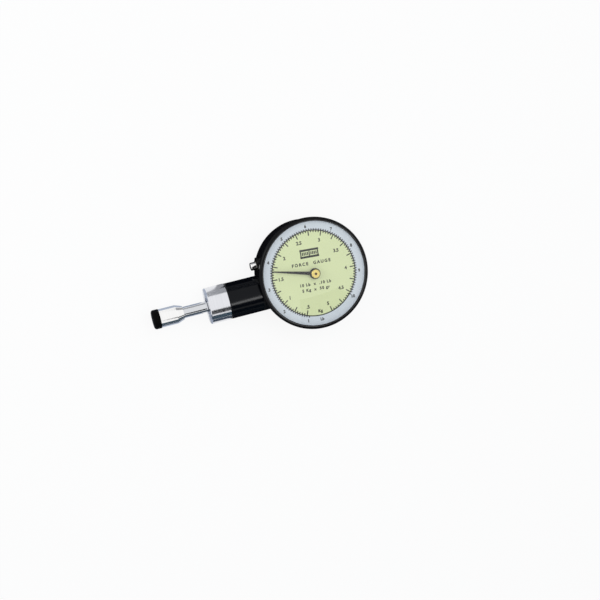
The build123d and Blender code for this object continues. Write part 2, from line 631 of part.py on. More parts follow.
with BuildPart() as rear_plate:
    with BuildSketch(Plane.XY.offset(rear_plate_z)):
        Circle(rear_plate_r)
        with Locations(*arbor_places):
            Circle(arbor_bush_r + NIP, mode=Mode.SUBTRACT)
        with Locations(*pillar_places):
            Circle(PILLAR_SCREW_R + RUN, mode=Mode.SUBTRACT)
        with Locations((LEVER_X, lever_y), (spring_post_x, button_y)):
            Circle(RIVET_R + NIP, mode=Mode.SUBTRACT)
        with Locations(*guide_screw_places):
            Circle(GUIDE_SCREW_R + NIP, mode=Mode.SUBTRACT)
    extrude(amount=REAR_PLATE_THICK)
rear_plate.part.label = "rear_plate"
export_step(rear_plate.part, "parts/rear_plate.step")

# Four turned pillars riveted into the front plate and tapped for the rear plate's screws.
with BuildPart() as plate_pillars:
    with Locations(*[(x, y, rear_plate_top) for x, y in pillar_places]):
        Cylinder(PILLAR_R, front_plate_z - rear_plate_top, align=ON_BASE)
        Cylinder(RIVET_R, ledge_z - rear_plate_top, align=ON_BASE)
        Cylinder(PILLAR_SCREW_R + NIP, PILLAR_SCREW_GRIP, align=ON_BASE, mode=Mode.SUBTRACT)
plate_pillars.part.label = "plate_pillars"
export_step(plate_pillars.part, "parts/plate_pillars.step")

with BuildPart() as pillar_screws:
    with Locations(*[(x, y, rear_plate_z - SCREW_HEAD_TALL) for x, y in pillar_places]):
        Cylinder(screw_head_r, SCREW_HEAD_TALL, align=ON_BASE)
        Cylinder(PILLAR_SCREW_R, SCREW_HEAD_TALL + REAR_PLATE_THICK + PILLAR_SCREW_GRIP - SEAT,
                 align=ON_BASE)
        Box(SLOT_WIDE, 2 * screw_head_r, SCREW_HEAD_TALL / 2, align=ON_BASE, mode=Mode.SUBTRACT)
pillar_screws.part.label = "pillar_screws"
export_step(pillar_screws.part, "parts/pillar_screws.step")

with BuildPart() as movement_screws:
    with Locations(*[(x, y, front_plate_z - SCREW_HEAD_TALL) for x, y in movement_places]):
        Cylinder(screw_head_r, SCREW_HEAD_TALL, align=ON_BASE)
        Cylinder(MOVEMENT_SCREW_R,
                 SCREW_HEAD_TALL + FRONT_PLATE_THICK + MOVEMENT_SCREW_GRIP - SEAT, align=ON_BASE)
        Box(SLOT_WIDE, 2 * screw_head_r, SCREW_HEAD_TALL / 2, align=ON_BASE, mode=Mode.SUBTRACT)
movement_screws.part.label = "movement_screws"
export_step(movement_screws.part, "parts/movement_screws.step")

with BuildPart() as arbor_bushes:
    for plate_z, plate_thick in ((rear_plate_z, REAR_PLATE_THICK), (front_plate_z, FRONT_PLATE_THICK)):
        with BuildSketch(Plane.XY.offset(plate_z)):
            with Locations(*arbor_places):
                Circle(arbor_bush_r)
                Circle(PIVOT_R + RUN, mode=Mode.SUBTRACT)
        extrude(amount=plate_thick)
arbor_bushes.part.label = "arbor_bushes"
export_step(arbor_bushes.part, "parts/arbor_bushes.step")

# Bracket that holds the rack's back up to the pinion.
with BuildPart() as rack_guide:
    with Locations((wheel_x, guide_y, rear_plate_top)):
        Box(GUIDE_WIDE, GUIDE_WALL, rack_low_z + RACK_THICK - rear_plate_top,
            align=(Align.CENTER, Align.MAX, Align.MIN))
        Box(GUIDE_WIDE, GUIDE_WALL + GUIDE_FOOT, GUIDE_FOOT_THICK, align=(Align.CENTER, Align.MAX, Align.MIN))
    with Locations(*[(x, y, rear_plate_top) for x, y in guide_screw_places]):
        Cylinder(GUIDE_SCREW_R + RUN, GUIDE_FOOT_THICK, align=ON_BASE, mode=Mode.SUBTRACT)
rack_guide.part.label = "rack_guide"
export_step(rack_guide.part, "parts/rack_guide.step")

with BuildPart() as guide_screws:
    with Locations(*[(x, y, rear_plate_z) for x, y in guide_screw_places]):
        Cylinder(GUIDE_SCREW_R, REAR_PLATE_THICK + GUIDE_FOOT_THICK, align=ON_BASE)
    with Locations(*[(x, y, rear_plate_top + GUIDE_FOOT_THICK) for x, y in guide_screw_places]):
        Cylinder(2 * GUIDE_SCREW_R, GUIDE_SCREW_R, align=ON_BASE)
guide_screws.part.label = "guide_screws"
export_step(guide_screws.part, "parts/guide_screws.step")

# ---- gear train --------------------------------------------------------------------------------
with BuildPart() as rack_pinion:
    with BuildSketch(Plane.XY.offset(barrel_z - pinion_wide / 2)):
        gear(rack_module, PINION_TEETH, -90 + 180 / PINION_TEETH, (wheel_x, wheel_y))
    extrude(amount=pinion_wide)
    with Locations((wheel_x, wheel_y, rear_plate_top + SEAT)):
        Cylinder(ARBOR_R, front_plate_z - rear_plate_top - 2 * SEAT, align=ON_BASE)
    with Locations((wheel_x, wheel_y, rear_plate_z)):
        Cylinder(PIVOT_R, ledge_z - rear_plate_z, align=ON_BASE)
rack_pinion.part.label = "rack_pinion"
export_step(rack_pinion.part, "parts/rack_pinion.step")

wheel_root_r = TRAIN_MODULE * (WHEEL_TEETH / 2 - 1.25)
window_outer_r = wheel_root_r - WHEEL_RIM
window_inner_r = hub_boss_r + WHEEL_RIM
with BuildPart() as gear_wheel:
    with BuildSketch(Plane.XY.offset(wheel_z)):
        gear(TRAIN_MODULE, WHEEL_TEETH, mesh_angle, (wheel_x, wheel_y))
        with Locations((wheel_x, wheel_y)):
            Circle(window_outer_r, mode=Mode.SUBTRACT)
            Circle(window_inner_r)
            with PolarLocations(0, WHEEL_SPOKES):
                Rectangle(wheel_root_r, SPOKE_WIDE, align=(Align.MIN, Align.CENTER))
    extrude(amount=WHEEL_THICK)
    with Locations((wheel_x, wheel_y, wheel_z - HUB_BOSS_TALL)):
        Cylinder(hub_boss_r, HUB_BOSS_TALL, align=ON_BASE)
        Cylinder(ARBOR_R + NIP, HUB_BOSS_TALL + WHEEL_THICK, align=ON_BASE, mode=Mode.SUBTRACT)
gear_wheel.part.label = "gear_wheel"
export_step(gear_wheel.part, "parts/gear_wheel.step")

# Centre arbor: pivots in both plates, carries the brake wheel and, in front of the dial, the pointer.
with BuildPart() as centre_arbor:
    with BuildSketch(Plane.XY.offset(wheel_z - SEAT)):
        gear(TRAIN_MODULE, CENTRE_TEETH, mesh_angle + 180 + 180 / CENTRE_TEETH, (0, 0))
    extrude(amount=WHEEL_THICK + 2 * SEAT)
    with Locations((0, 0, rear_plate_top + SEAT)):
        Cylinder(ARBOR_R, front_plate_z - rear_plate_top - 2 * SEAT, align=ON_BASE)
    with Locations((0, 0, rear_plate_z)):
        Cylinder(PIVOT_R, arbor_top_z - rear_plate_z, align=ON_BASE)
centre_arbor.part.label = "centre_arbor"
export_step(centre_arbor.part, "parts/centre_arbor.step")

# Hairspring: a flat spiral from a collet on the centre arbor to a stud on the front plate.
spiral_steps = 20 * HAIR_TURNS
spiral = []
for step in range(spiral_steps + 1):
    turn = 2 * pi * HAIR_TURNS * step / spiral_steps
    spiral.append((collet_r - HAIR_WIDE + (HAIR_OUTER_R - collet_r + HAIR_WIDE) * step / spiral_steps,
                   turn))
outer_side = [((r + HAIR_WIDE / 2) * cos(a), (r + HAIR_WIDE / 2) * sin(a)) for r, a in spiral]
inner_side = [((r - HAIR_WIDE / 2) * cos(a), (r - HAIR_WIDE / 2) * sin(a)) for r, a in spiral]
with BuildPart() as hairspring:
    with BuildSketch(Plane.XY.offset(hair_z)):
        with BuildLine():
            Polyline(*outer_side, *reversed(inner_side), close=True)
        make_face()
        Circle(collet_r)
        Circle(PIVOT_R + NIP, mode=Mode.SUBTRACT)
    extrude(amount=HAIR_TALL)
hairspring.part.label = "hairspring"
export_step(hairspring.part, "parts/hairspring.step")

with BuildPart() as hairspring_stud:
    with Locations((stud_x, 0, ledge_z)):
        Cylinder(STUD_R, hair_z + HAIR_TALL - ledge_z, align=ON_BASE)
    with Locations((stud_x, 0, front_plate_z)):
        Cylinder(STUD_R / 2, FRONT_PLATE_THICK, align=ON_BASE)
hairspring_stud.part.label = "hairspring_stud"
export_step(hairspring_stud.part, "parts/hairspring_stud.step")

# ---- peak hold ---------------------------------------------------------------------------------
with BuildPart() as brake_wheel:
    with BuildSketch(Plane.XY.offset(brake_z)):
        Circle(BRAKE_R)
        with PolarLocations(brake_hole_ring_r, BRAKE_HOLES):
            Circle(BRAKE_HOLE_R, mode=Mode.SUBTRACT)
    extrude(amount=BRAKE_THICK)
    with Locations((0, 0, brake_z)):
        Cylinder(hub_boss_r, BRAKE_THICK + HUB_BOSS_TALL, align=ON_BASE)
        Cylinder(ARBOR_R + NIP, BRAKE_THICK + HUB_BOSS_TALL, align=ON_BASE, mode=Mode.SUBTRACT)
brake_wheel.part.label = "brake_wheel"
export_step(brake_wheel.part, "parts/brake_wheel.step")

# Bell crank: one arm ends in the foot over the brake wheel, the other in an upright tab that the
# reset button pushes.
foot_y = shoe_top_y + LEVER_WIDE / 2
tab_mid_x = tab_x + TAB_THICK / 2
foot_arm = Vector(LEVER_X, lever_y - foot_y)
tail_arm = Vector(LEVER_X - tab_mid_x, lever_y - button_y)
with BuildPart() as brake_lever:
    with BuildSketch(Plane.XY.offset(brake_z)):
        with Locations((LEVER_X, lever_y)):
            Circle(lever_hub_r)
        for arm in (foot_arm, tail_arm):
            with Locations(Location((LEVER_X - arm.X / 2, lever_y - arm.Y / 2, 0),
                                    (0, 0, degrees(atan2(arm.Y, arm.X))))):
                SlotCenterToCenter(arm.length, LEVER_WIDE)
        with Locations((0, shoe_top_y)):
            Rectangle(SHOE_WIDE, LEVER_WIDE / 2, align=(Align.CENTER, Align.MIN))
        with Locations((LEVER_X, lever_y)):
            Circle(LEVER_POST_R + RUN, mode=Mode.SUBTRACT)
    extrude(amount=BRAKE_THICK)
    with Locations((tab_x, button_y, brake_z)):
        Box(TAB_THICK, TAB_WIDE, barrel_z + STEM_R - brake_z, align=(Align.MIN, Align.CENTER, Align.MIN))
brake_lever.part.label = "brake_lever"
export_step(brake_lever.part, "parts/brake_lever.step")

with BuildPart() as brake_shoe:
    with BuildSketch(Plane.XY.offset(brake_z)):
        with Locations((0, shoe_top_y - NIP)):
            Rectangle(SHOE_WIDE, SHOE_TALL + SEAT, align=(Align.CENTER, Align.MAX))
        Circle(BRAKE_R + SEAT, mode=Mode.SUBTRACT)
    extrude(amount=BRAKE_THICK)
brake_shoe.part.label = "brake_shoe"
export_step(brake_shoe.part, "parts/brake_shoe.step")

with BuildPart() as lever_post:
    with Locations((LEVER_X, lever_y, rear_plate_z)):
        Cylinder(RIVET_R, REAR_PLATE_THICK, align=ON_BASE)
    with Locations((LEVER_X, lever_y, rear_plate_top)):
        Cylinder(LEVER_POST_R, clip_z + 2 * CLIP_THICK - rear_plate_top, align=ON_BASE)
        Cylinder(lever_hub_r, brake_z - SEAT - rear_plate_top, align=ON_BASE)
    with Locations((LEVER_X, lever_y, clip_z)):
        Cylinder(LEVER_POST_R, CLIP_THICK, align=ON_BASE, mode=Mode.SUBTRACT)
        Cylinder(LEVER_POST_R - CLIP_DEPTH, CLIP_THICK, align=ON_BASE)
lever_post.part.label = "lever_post"
export_step(lever_post.part, "parts/lever_post.step")

with BuildPart() as lever_clip:
    with BuildSketch(Plane.XY.offset(clip_z)):
        with Locations((LEVER_X, lever_y)):
            Circle(lever_hub_r)
            Circle(LEVER_POST_R - CLIP_DEPTH + NIP, mode=Mode.SUBTRACT)
            Rectangle(lever_hub_r, LEVER_POST_R, align=(Align.MIN, Align.CENTER), mode=Mode.SUBTRACT)
    extrude(amount=CLIP_THICK)
lever_clip.part.label = "lever_clip"
export_step(lever_clip.part, "parts/lever_clip.step")

with BuildPart() as spring_post:
    with Locations((spring_post_x, button_y, rear_plate_z)):
        Cylinder(RIVET_R, REAR_PLATE_THICK, align=ON_BASE)
    with Locations((spring_post_x, button_y, rear_plate_top)):
        Cylinder(SPRING_POST_R, barrel_z + STEM_R - rear_plate_top, align=ON_BASE)
spring_post.part.label = "spring_post"
export_step(spring_post.part, "parts/spring_post.step")

with BuildPart() as brake_spring:
    coil((tab_end_x, button_y, barrel_z - FINE_WIRE_R), spring_post_x - SPRING_POST_R - tab_end_x,
         BRAKE_SPRING_R, FINE_WIRE_R, BRAKE_SPRING_TURNS)
brake_spring.part.label = "brake_spring"
export_step(brake_spring.part, "parts/brake_spring.step")

# ---- reset button ------------------------------------------------------------------------------
with BuildPart() as button_bush:
    turned(button_plane, button_axis, [
        (button_bush_x, BUTTON_R + RUN), (button_bush_x, button_bush_r - CHAMFER / 2),
        (button_bush_x + CHAMFER / 2, button_bush_r), (button_bush_end_x, button_bush_r),
        (button_bush_end_x, STEM_R + RUN), (reset_seat_x, STEM_R + RUN),
        (reset_seat_x, BUTTON_R + RUN)])
button_bush.part.label = "button_bush"
export_step(button_bush.part, "parts/button_bush.step")

with BuildPart() as reset_button:
    turned(button_plane, button_axis, [
        (button_end_x, 0), (button_end_x, BUTTON_R), (head_end_x, BUTTON_R), (head_end_x, STEM_R),
        (button_clip_x, STEM_R), (button_clip_x, STEM_R - CLIP_DEPTH),
        (button_clip_x + CLIP_THICK, STEM_R - CLIP_DEPTH), (button_clip_x + CLIP_THICK, STEM_R),
        (stem_end_x, STEM_R), (stem_end_x, 0)])
    fillet(reset_button.edges().filter_by(GeomType.CIRCLE).sort_by(Axis.X)[0], CHAMFER)
reset_button.part.label = "reset_button"
export_step(reset_button.part, "parts/reset_button.step")

with BuildPart() as button_clip:
    clip(button_plane, button_axis, button_clip_x, STEM_R, button_clip_r, button_y)
button_clip.part.label = "button_clip"
export_step(button_clip.part, "parts/button_clip.step")

with BuildPart() as reset_spring:
    coil((head_end_x, button_y, barrel_z), RESET_SPRING_LENGTH, reset_spring_r, FINE_WIRE_R,
         RESET_TURNS)
reset_spring.part.label = "reset_spring"
export_step(reset_spring.part, "parts/reset_spring.step")

# ---- bezel, dial and crystal -------------------------------------------------------------------
groove_r = skirt_inner_r + SNAP_RING_WIDE / 2
groove_half = SNAP_RING_WIDE / 2 + SEAT
with BuildPart() as bezel_ring:
    with BuildSketch(dial_plane):
        with BuildLine():
            Polyline((lip_r + EDGE, bezel_top_z), (lip_r, bezel_top_z - EDGE),
                     (lip_r, lip_z), (rim_r, lip_z), (rim_r, dial_back_z), (skirt_inner_r, dial_back_z),
                     (skirt_inner_r, snap_ring_z + groove_half), (groove_r, snap_ring_z + groove_half),
                     (groove_r, snap_ring_z - groove_half), (skirt_inner_r, snap_ring_z - groove_half),
                     (skirt_inner_r, skirt_z), (CASE_R, skirt_z), (CASE_R, bezel_z),
                     (bezel_r - EDGE, bezel_z), (bezel_r, bezel_z + EDGE),
                     (bezel_r, shoulder_z))
            ThreePointArc((bezel_r, shoulder_z),
                          (bezel_r - (bezel_r - lip_r - EDGE) * 0.28,
                           shoulder_z + (bezel_top_z - shoulder_z) * 0.68),
                          (lip_r + EDGE, bezel_top_z))
        make_face()
    revolve(axis=Axis.Z)
bezel_ring.part.label = "bezel_ring"
export_step(bezel_ring.part, "parts/bezel_ring.step")

# Split ring, half in the case's groove and half in the bezel's, that lets the bezel turn.
ring_inner_r = neck_r + RUN - SNAP_RING_WIDE / 2
with BuildPart() as bezel_snap_ring:
    with BuildSketch(Plane.XZ):
        with Locations((ring_inner_r, snap_ring_z)):
            Rectangle(SNAP_RING_WIDE, SNAP_RING_WIDE, align=(Align.MIN, Align.CENTER))
    revolve(axis=Axis.Z, revolution_arc=360 - SNAP_RING_SPLIT)
bezel_snap_ring.part.label = "bezel_snap_ring"
export_step(bezel_snap_ring.part, "parts/bezel_snap_ring.step")

with BuildPart() as dial_plate:
    with BuildSketch(Plane.XY.offset(dial_back_z)):
        Circle(dial_r)
        Circle(dial_hole_r, mode=Mode.SUBTRACT)
    extrude(amount=DIAL_THICK)
dial_plate.part.label = "dial_plate"
export_step(dial_plate.part, "parts/dial_plate.step")

with BuildPart() as crystal_seal:
    with BuildSketch(Plane.XY.offset(dial_z)):
        Circle(dial_r)
        Circle(lip_r, mode=Mode.SUBTRACT)
    extrude(amount=SEAL_TALL)
crystal_seal.part.label = "crystal_seal"
export_step(crystal_seal.part, "parts/crystal_seal.step")

# Domed window: a shallow cap of even thickness with a flat rim under the bezel's lip.
dome_r = lip_r - EDGE
sphere_r = (dome_r ** 2 + CRYSTAL_RISE ** 2) / (2 * CRYSTAL_RISE)
half_drop = sphere_r - sqrt(sphere_r ** 2 - dome_r ** 2 / 4)
with BuildPart() as crystal:
    with BuildSketch(dial_plane):
        with BuildLine():
            ThreePointArc((0, crystal_top_z), (dome_r / 2, crystal_top_z - half_drop), (dome_r, lip_z))
            Polyline((dome_r, lip_z), (dial_r, lip_z), (dial_r, seal_top_z), (dome_r, seal_top_z))
            ThreePointArc((dome_r, seal_top_z), (dome_r / 2, crystal_top_z - half_drop - CRYSTAL_THICK),
                          (0, crystal_top_z - CRYSTAL_THICK))
            Line((0, crystal_top_z - CRYSTAL_THICK), (0, crystal_top_z))
        make_face()
    revolve(axis=Axis.Z)
crystal.part.label = "crystal"
export_step(crystal.part, "parts/crystal.step")

# ---- pointer -----------------------------------------------------------------------------------
with BuildPart() as pointer:
    with BuildSketch(Plane.XY.offset(pointer_z).rotated((0, 0, POINTER_ANGLE))):
        with BuildLine():
            Polyline((0, POINTER_ROOT_WIDE / 2), (pointer_length, POINTER_TIP_WIDE / 2),
                     (pointer_length, -POINTER_TIP_WIDE / 2), (0, -POINTER_ROOT_WIDE / 2), close=True)
        make_face()
    extrude(amount=POINTER_THICK)
    with Locations((0, 0, pointer_z)):
        Cylinder(pointer_boss_r, POINTER_BOSS_TALL, align=ON_BASE)
        Cylinder(PIVOT_R + NIP, POINTER_BOSS_TALL, align=ON_BASE, mode=Mode.SUBTRACT)
pointer.part.label = "pointer"
export_step(pointer.part, "parts/pointer.step")

with BuildPart() as pointer_hub:
    with Locations((0, 0, hub_z)):
        Cylinder(POINTER_HUB_R, POINTER_HUB_TALL, align=ON_BASE)
        Cylinder(PIVOT_R + NIP, POINTER_HUB_TALL, align=ON_BASE, mode=Mode.SUBTRACT)
    chamfer(pointer_hub.edges().filter_by(GeomType.CIRCLE).group_by(Axis.Z)[-1].sort_by(SortBy.RADIUS)[-1],
            EDGE)
pointer_hub.part.label = "pointer_hub"
export_step(pointer_hub.part, "parts/pointer_hub.step")
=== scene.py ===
import math

import bmesh
import bpy
from mathutils import Matrix, Vector


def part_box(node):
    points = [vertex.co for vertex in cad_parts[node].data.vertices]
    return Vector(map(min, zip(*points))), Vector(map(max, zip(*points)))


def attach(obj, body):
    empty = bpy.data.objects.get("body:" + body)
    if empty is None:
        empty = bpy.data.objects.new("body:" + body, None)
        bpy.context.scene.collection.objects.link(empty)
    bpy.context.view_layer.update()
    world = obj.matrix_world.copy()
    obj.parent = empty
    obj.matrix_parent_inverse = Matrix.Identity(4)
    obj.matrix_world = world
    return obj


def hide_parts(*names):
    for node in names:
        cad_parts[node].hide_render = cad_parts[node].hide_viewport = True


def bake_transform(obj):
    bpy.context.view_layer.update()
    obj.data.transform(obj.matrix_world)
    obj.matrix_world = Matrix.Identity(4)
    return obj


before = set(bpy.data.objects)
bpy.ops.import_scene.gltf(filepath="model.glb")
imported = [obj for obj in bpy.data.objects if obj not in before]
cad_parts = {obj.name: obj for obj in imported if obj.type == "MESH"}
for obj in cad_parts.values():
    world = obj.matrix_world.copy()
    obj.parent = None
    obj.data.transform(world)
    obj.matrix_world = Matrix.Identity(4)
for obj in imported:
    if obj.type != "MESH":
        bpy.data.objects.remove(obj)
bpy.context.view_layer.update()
MM = 0.001

# ---- Case and back cover -----------------------------------------------------------------------
# The case is die cast in zinc, machined where the barrel, the bezel and the cover fit, and finished
# in satin black lacquer. The cover is turned from plate, lacquered too, and held by four screws.

LACQUER = (0.0018, 0.0019, 0.0024, 1)
LACQUER_WORN = (0.030, 0.031, 0.034, 1)


def group_node(nodes, group, **values):
    """A node that uses the group, with some of its inputs set."""
    node = nodes.new("ShaderNodeGroup")
    node.node_tree = group
    for name, value in values.items():
        node.inputs[name.replace("_", " ")].default_value = value
    return node


def new_group(name, inputs, outputs):
    """An empty shader node group with named sockets, and its nodes, links, input and output."""
    group = bpy.data.node_groups.new(name, "ShaderNodeTree")
    for socket, kind, value in inputs:
        made = group.interface.new_socket(name=socket, in_out="INPUT", socket_type=kind)
        if value is not None:
            made.default_value = value
    for socket, kind in outputs:
        group.interface.new_socket(name=socket, in_out="OUTPUT", socket_type=kind)
    nodes = group.nodes
    return group, nodes, group.links, nodes.new("NodeGroupInput"), nodes.new("NodeGroupOutput")


def maths(nodes, links, operation, *values):
    """A Math node fed by sockets or numbers."""
    node = nodes.new("ShaderNodeMath")
    node.operation = operation
    for socket, value in zip(node.inputs, values):
        if isinstance(value, (int, float)):
            socket.default_value = value
        else:
            links.new(value, socket)
    return node.outputs[0]


def vector_maths(nodes, links, operation, *values):
    """A Vector Math node fed by sockets or vectors."""
    node = nodes.new("ShaderNodeVectorMath")
    node.operation = operation
    for socket, value in zip(node.inputs, values):
        if isinstance(value, (tuple, Vector)):
            socket.default_value = value
        else:
            links.new(value, socket)
    return node.outputs["Value" if operation in ("LENGTH", "DOT_PRODUCT") else "Vector"]


MIX_SOCKETS = (0, 6, 7)       # a Mix node's factor and its two colours; its names repeat for each type
MIX_RESULT = 2


def mixed(nodes, links, factor, first, second):
    """Two colours mixed by a factor."""
    node = nodes.new("ShaderNodeMix")
    node.data_type = "RGBA"
    for index, value in zip(MIX_SOCKETS, (factor, first, second)):
        socket = node.inputs[index]
        if isinstance(value, (int, float, tuple)):
            socket.default_value = value
        else:
            links.new(value, socket)
    return node.outputs[MIX_RESULT]


BROAD_SHARE = 0.09            # scale of the broad mottling, as a share of the fine grain's
GLOSS_SPREAD = 0.24           # how far the broad mottling moves the roughness from end to end


def make_grain():
    """Fine mottling of a cast, moulded or lacquered surface."""
    group, nodes, links, given, made = new_group(
        "grain",
        [("Color", "NodeSocketColor", None), ("Spread", "NodeSocketFloat", 0.15),
         ("Roughness", "NodeSocketFloat", 0.4), ("Scale", "NodeSocketFloat", 900.0)],
        [("Color", "NodeSocketColor"), ("Roughness", "NodeSocketFloat"), ("Height", "NodeSocketFloat")],
    )
    place = nodes.new("ShaderNodeTexCoord")
    fine = nodes.new("ShaderNodeTexNoise")
    fine.inputs["Detail"].default_value = 4
    broad = nodes.new("ShaderNodeTexNoise")
    broad.inputs["Detail"].default_value = 3
    links.new(place.outputs["Object"], fine.inputs["Vector"])
    links.new(place.outputs["Object"], broad.inputs["Vector"])
    links.new(given.outputs["Scale"], fine.inputs["Scale"])
    links.new(maths(nodes, links, "MULTIPLY", given.outputs["Scale"], BROAD_SHARE), broad.inputs["Scale"])
    tone = maths(nodes, links, "MULTIPLY_ADD", broad.outputs["Fac"], given.outputs["Spread"], 1.0)
    half_spread = maths(nodes, links, "MULTIPLY", given.outputs["Spread"], 0.5)
    tone = maths(nodes, links, "SUBTRACT", tone, half_spread)
    shade = vector_maths(nodes, links, "SCALE", given.outputs["Color"])
    links.new(tone, shade.node.inputs["Scale"])
    rough = maths(nodes, links, "MULTIPLY_ADD", broad.outputs["Fac"], GLOSS_SPREAD,
                  given.outputs["Roughness"])
    rough = maths(nodes, links, "SUBTRACT", rough, GLOSS_SPREAD / 2)
    links.new(shade, made.inputs["Color"])
    links.new(rough, made.inputs["Roughness"])
    links.new(fine.outputs["Fac"], made.inputs["Height"])
    return group


WEAR_REACH = 0.25 * MM
WEAR_GAIN = 6.0               # how soon the turn of an edge counts as fully worn


def make_edge_wear():
    """Edges where a finish has rubbed thin, from how far the bevelled normal leaves the face's own."""
    group, nodes, links, given, made = new_group(
        "edge_wear",
        [("Color", "NodeSocketColor", None), ("Worn Color", "NodeSocketColor", None),
         ("Amount", "NodeSocketFloat", 0.6), ("Scale", "NodeSocketFloat", 700.0)],
        [("Color", "NodeSocketColor")],
    )
    bevel = nodes.new("ShaderNodeBevel")
    bevel.samples = 4
    bevel.inputs["Radius"].default_value = WEAR_REACH
    face = nodes.new("ShaderNodeNewGeometry")
    place = nodes.new("ShaderNodeTexCoord")
    breaks = nodes.new("ShaderNodeTexNoise")
    breaks.inputs["Detail"].default_value = 3
    links.new(place.outputs["Object"], breaks.inputs["Vector"])
    links.new(given.outputs["Scale"], breaks.inputs["Scale"])
    facing = vector_maths(nodes, links, "DOT_PRODUCT", bevel.outputs["Normal"], face.outputs["Normal"])
    edge = maths(nodes, links, "MULTIPLY", maths(nodes, links, "SUBTRACT", 1.0, facing), WEAR_GAIN)
    edge = maths(nodes, links, "MULTIPLY", edge, breaks.outputs["Fac"])
    edge = maths(nodes, links, "MINIMUM", maths(nodes, links, "MULTIPLY", edge, given.outputs["Amount"]), 1.0)
    color = mixed(nodes, links, edge, given.outputs["Color"], given.outputs["Worn Color"])
    links.new(color, made.inputs["Color"])
    return group


grain = make_grain()
edge_wear = make_edge_wear()


def new_material(name):
    """A material, its nodes and links, and its shader."""
    material = bpy.data.materials.new(name)
    material.use_nodes = True
    tree = material.node_tree
    return material, tree.nodes, tree.links, tree.nodes["Principled BSDF"]


def bump(nodes, links, shader, height, depth):
    """Raises the shader's surface by a height map, whose full range is depth metres."""
    node = nodes.new("ShaderNodeBump")
    node.inputs["Strength"].default_value = 1.0
    node.inputs["Distance"].default_value = depth
    links.new(height, node.inputs["Height"])
    links.new(node.outputs["Normal"], shader.inputs["Normal"])


def grained_finish(name, color, worn_color, roughness, depth, spread=0.2, scale=900.0, metallic=0.0,
                   wear=0.5, shine=0.5):
    """A cast, moulded or lacquered finish: mottled colour and gloss, fine texture, rubbed edges."""
    material, nodes, links, shader = new_material(name)
    body = group_node(nodes, grain, Color=color, Spread=spread, Roughness=roughness, Scale=scale)
    edges = group_node(nodes, edge_wear, Worn_Color=worn_color, Amount=wear)
    links.new(body.outputs["Color"], edges.inputs["Color"])
    links.new(edges.outputs["Color"], shader.inputs["Base Color"])
    links.new(body.outputs["Roughness"], shader.inputs["Roughness"])
    shader.inputs["Metallic"].default_value = metallic
    shader.inputs["Specular IOR Level"].default_value = shine
    bump(nodes, links, shader, body.outputs["Height"], depth)
    return material


def dress(material, *names):
    """Gives CAD nodes their finish."""
    for name in names:
        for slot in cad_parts[name].material_slots:
            slot.material = material


satin_lacquer = grained_finish("satin_black_lacquer", LACQUER, LACQUER_WORN, roughness=0.34,
                               depth=0.005 * MM, shine=0.2)
dress(satin_lacquer, "case_body")


SLOW_SHARE = 0.12             # scale of the slow change of tone, as a share of the tool marks'


def make_turned_rings():
    """Tool marks of a lathe: rings around an axis through the mapped origin, on round and flat faces."""
    group, nodes, links, given, made = new_group(
        "turned_rings",
        [("Vector", "NodeSocketVector", None), ("Axis", "NodeSocketVector", (0, 0, 1)),
         ("Scale", "NodeSocketFloat", 9000.0)],
        [("Height", "NodeSocketFloat"), ("Tone", "NodeSocketFloat")],
    )
    along = vector_maths(nodes, links, "DOT_PRODUCT", given.outputs["Vector"], given.outputs["Axis"])
    line = vector_maths(nodes, links, "SCALE", given.outputs["Axis"])
    links.new(along, line.node.inputs["Scale"])
    out = vector_maths(nodes, links, "SUBTRACT", given.outputs["Vector"], line)
    path = maths(nodes, links, "ADD", along, vector_maths(nodes, links, "LENGTH", out))
    marks = nodes.new("ShaderNodeTexNoise")
    marks.noise_dimensions = "1D"
    marks.inputs["Detail"].default_value = 2
    links.new(path, marks.inputs["W"])
    links.new(given.outputs["Scale"], marks.inputs["Scale"])
    slow = nodes.new("ShaderNodeTexNoise")
    slow.noise_dimensions = "1D"
    slow.inputs["Detail"].default_value = 1
    links.new(path, slow.inputs["W"])
    links.new(maths(nodes, links, "MULTIPLY", given.outputs["Scale"], SLOW_SHARE), slow.inputs["Scale"])
    links.new(marks.outputs["Fac"], made.inputs["Height"])
    links.new(slow.outputs["Fac"], made.inputs["Tone"])
    return group


turned_rings = make_turned_rings()

UNDER_RINGS = 500.0           # scale of the mottling under the tool marks
RING_GLOSS = 0.5              # share of the roughness that the rings move


def turned_finish(name, color, worn_color, roughness, centre, axis, depth, metallic=1.0, tone=0.12,
                  marks=9000.0, wear=0.4, shine=0.5):
    """A lathe-turned finish: rings around the piece's own axis in its gloss, tone and texture."""
    material, nodes, links, shader = new_material(name)
    place = nodes.new("ShaderNodeTexCoord")
    centred = nodes.new("ShaderNodeMapping")
    centred.inputs["Location"].default_value = -Vector(centre)
    links.new(place.outputs["Object"], centred.inputs["Vector"])
    rings = group_node(nodes, turned_rings, Axis=axis, Scale=marks)
    links.new(centred.outputs["Vector"], rings.inputs["Vector"])
    body = group_node(nodes, grain, Spread=tone, Roughness=roughness, Scale=UNDER_RINGS)
    darker = tuple(part * (1 - tone) for part in color[:3]) + (1,)
    links.new(mixed(nodes, links, rings.outputs["Tone"], darker, color), body.inputs["Color"])
    edges = group_node(nodes, edge_wear, Worn_Color=worn_color, Amount=wear)
    links.new(body.outputs["Color"], edges.inputs["Color"])
    links.new(edges.outputs["Color"], shader.inputs["Base Color"])
    least = maths(nodes, links, "SUBTRACT", body.outputs["Roughness"], roughness * RING_GLOSS / 2)
    rough = maths(nodes, links, "MULTIPLY_ADD", rings.outputs["Tone"], roughness * RING_GLOSS, least)
    links.new(rough, shader.inputs["Roughness"])
    shader.inputs["Metallic"].default_value = metallic
    shader.inputs["Specular IOR Level"].default_value = shine
    bump(nodes, links, shader, rings.outputs["Height"], depth)
    return material


def centre_of(node):
    """The middle of a CAD node's box."""
    low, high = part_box(node)
    return (low + high) / 2


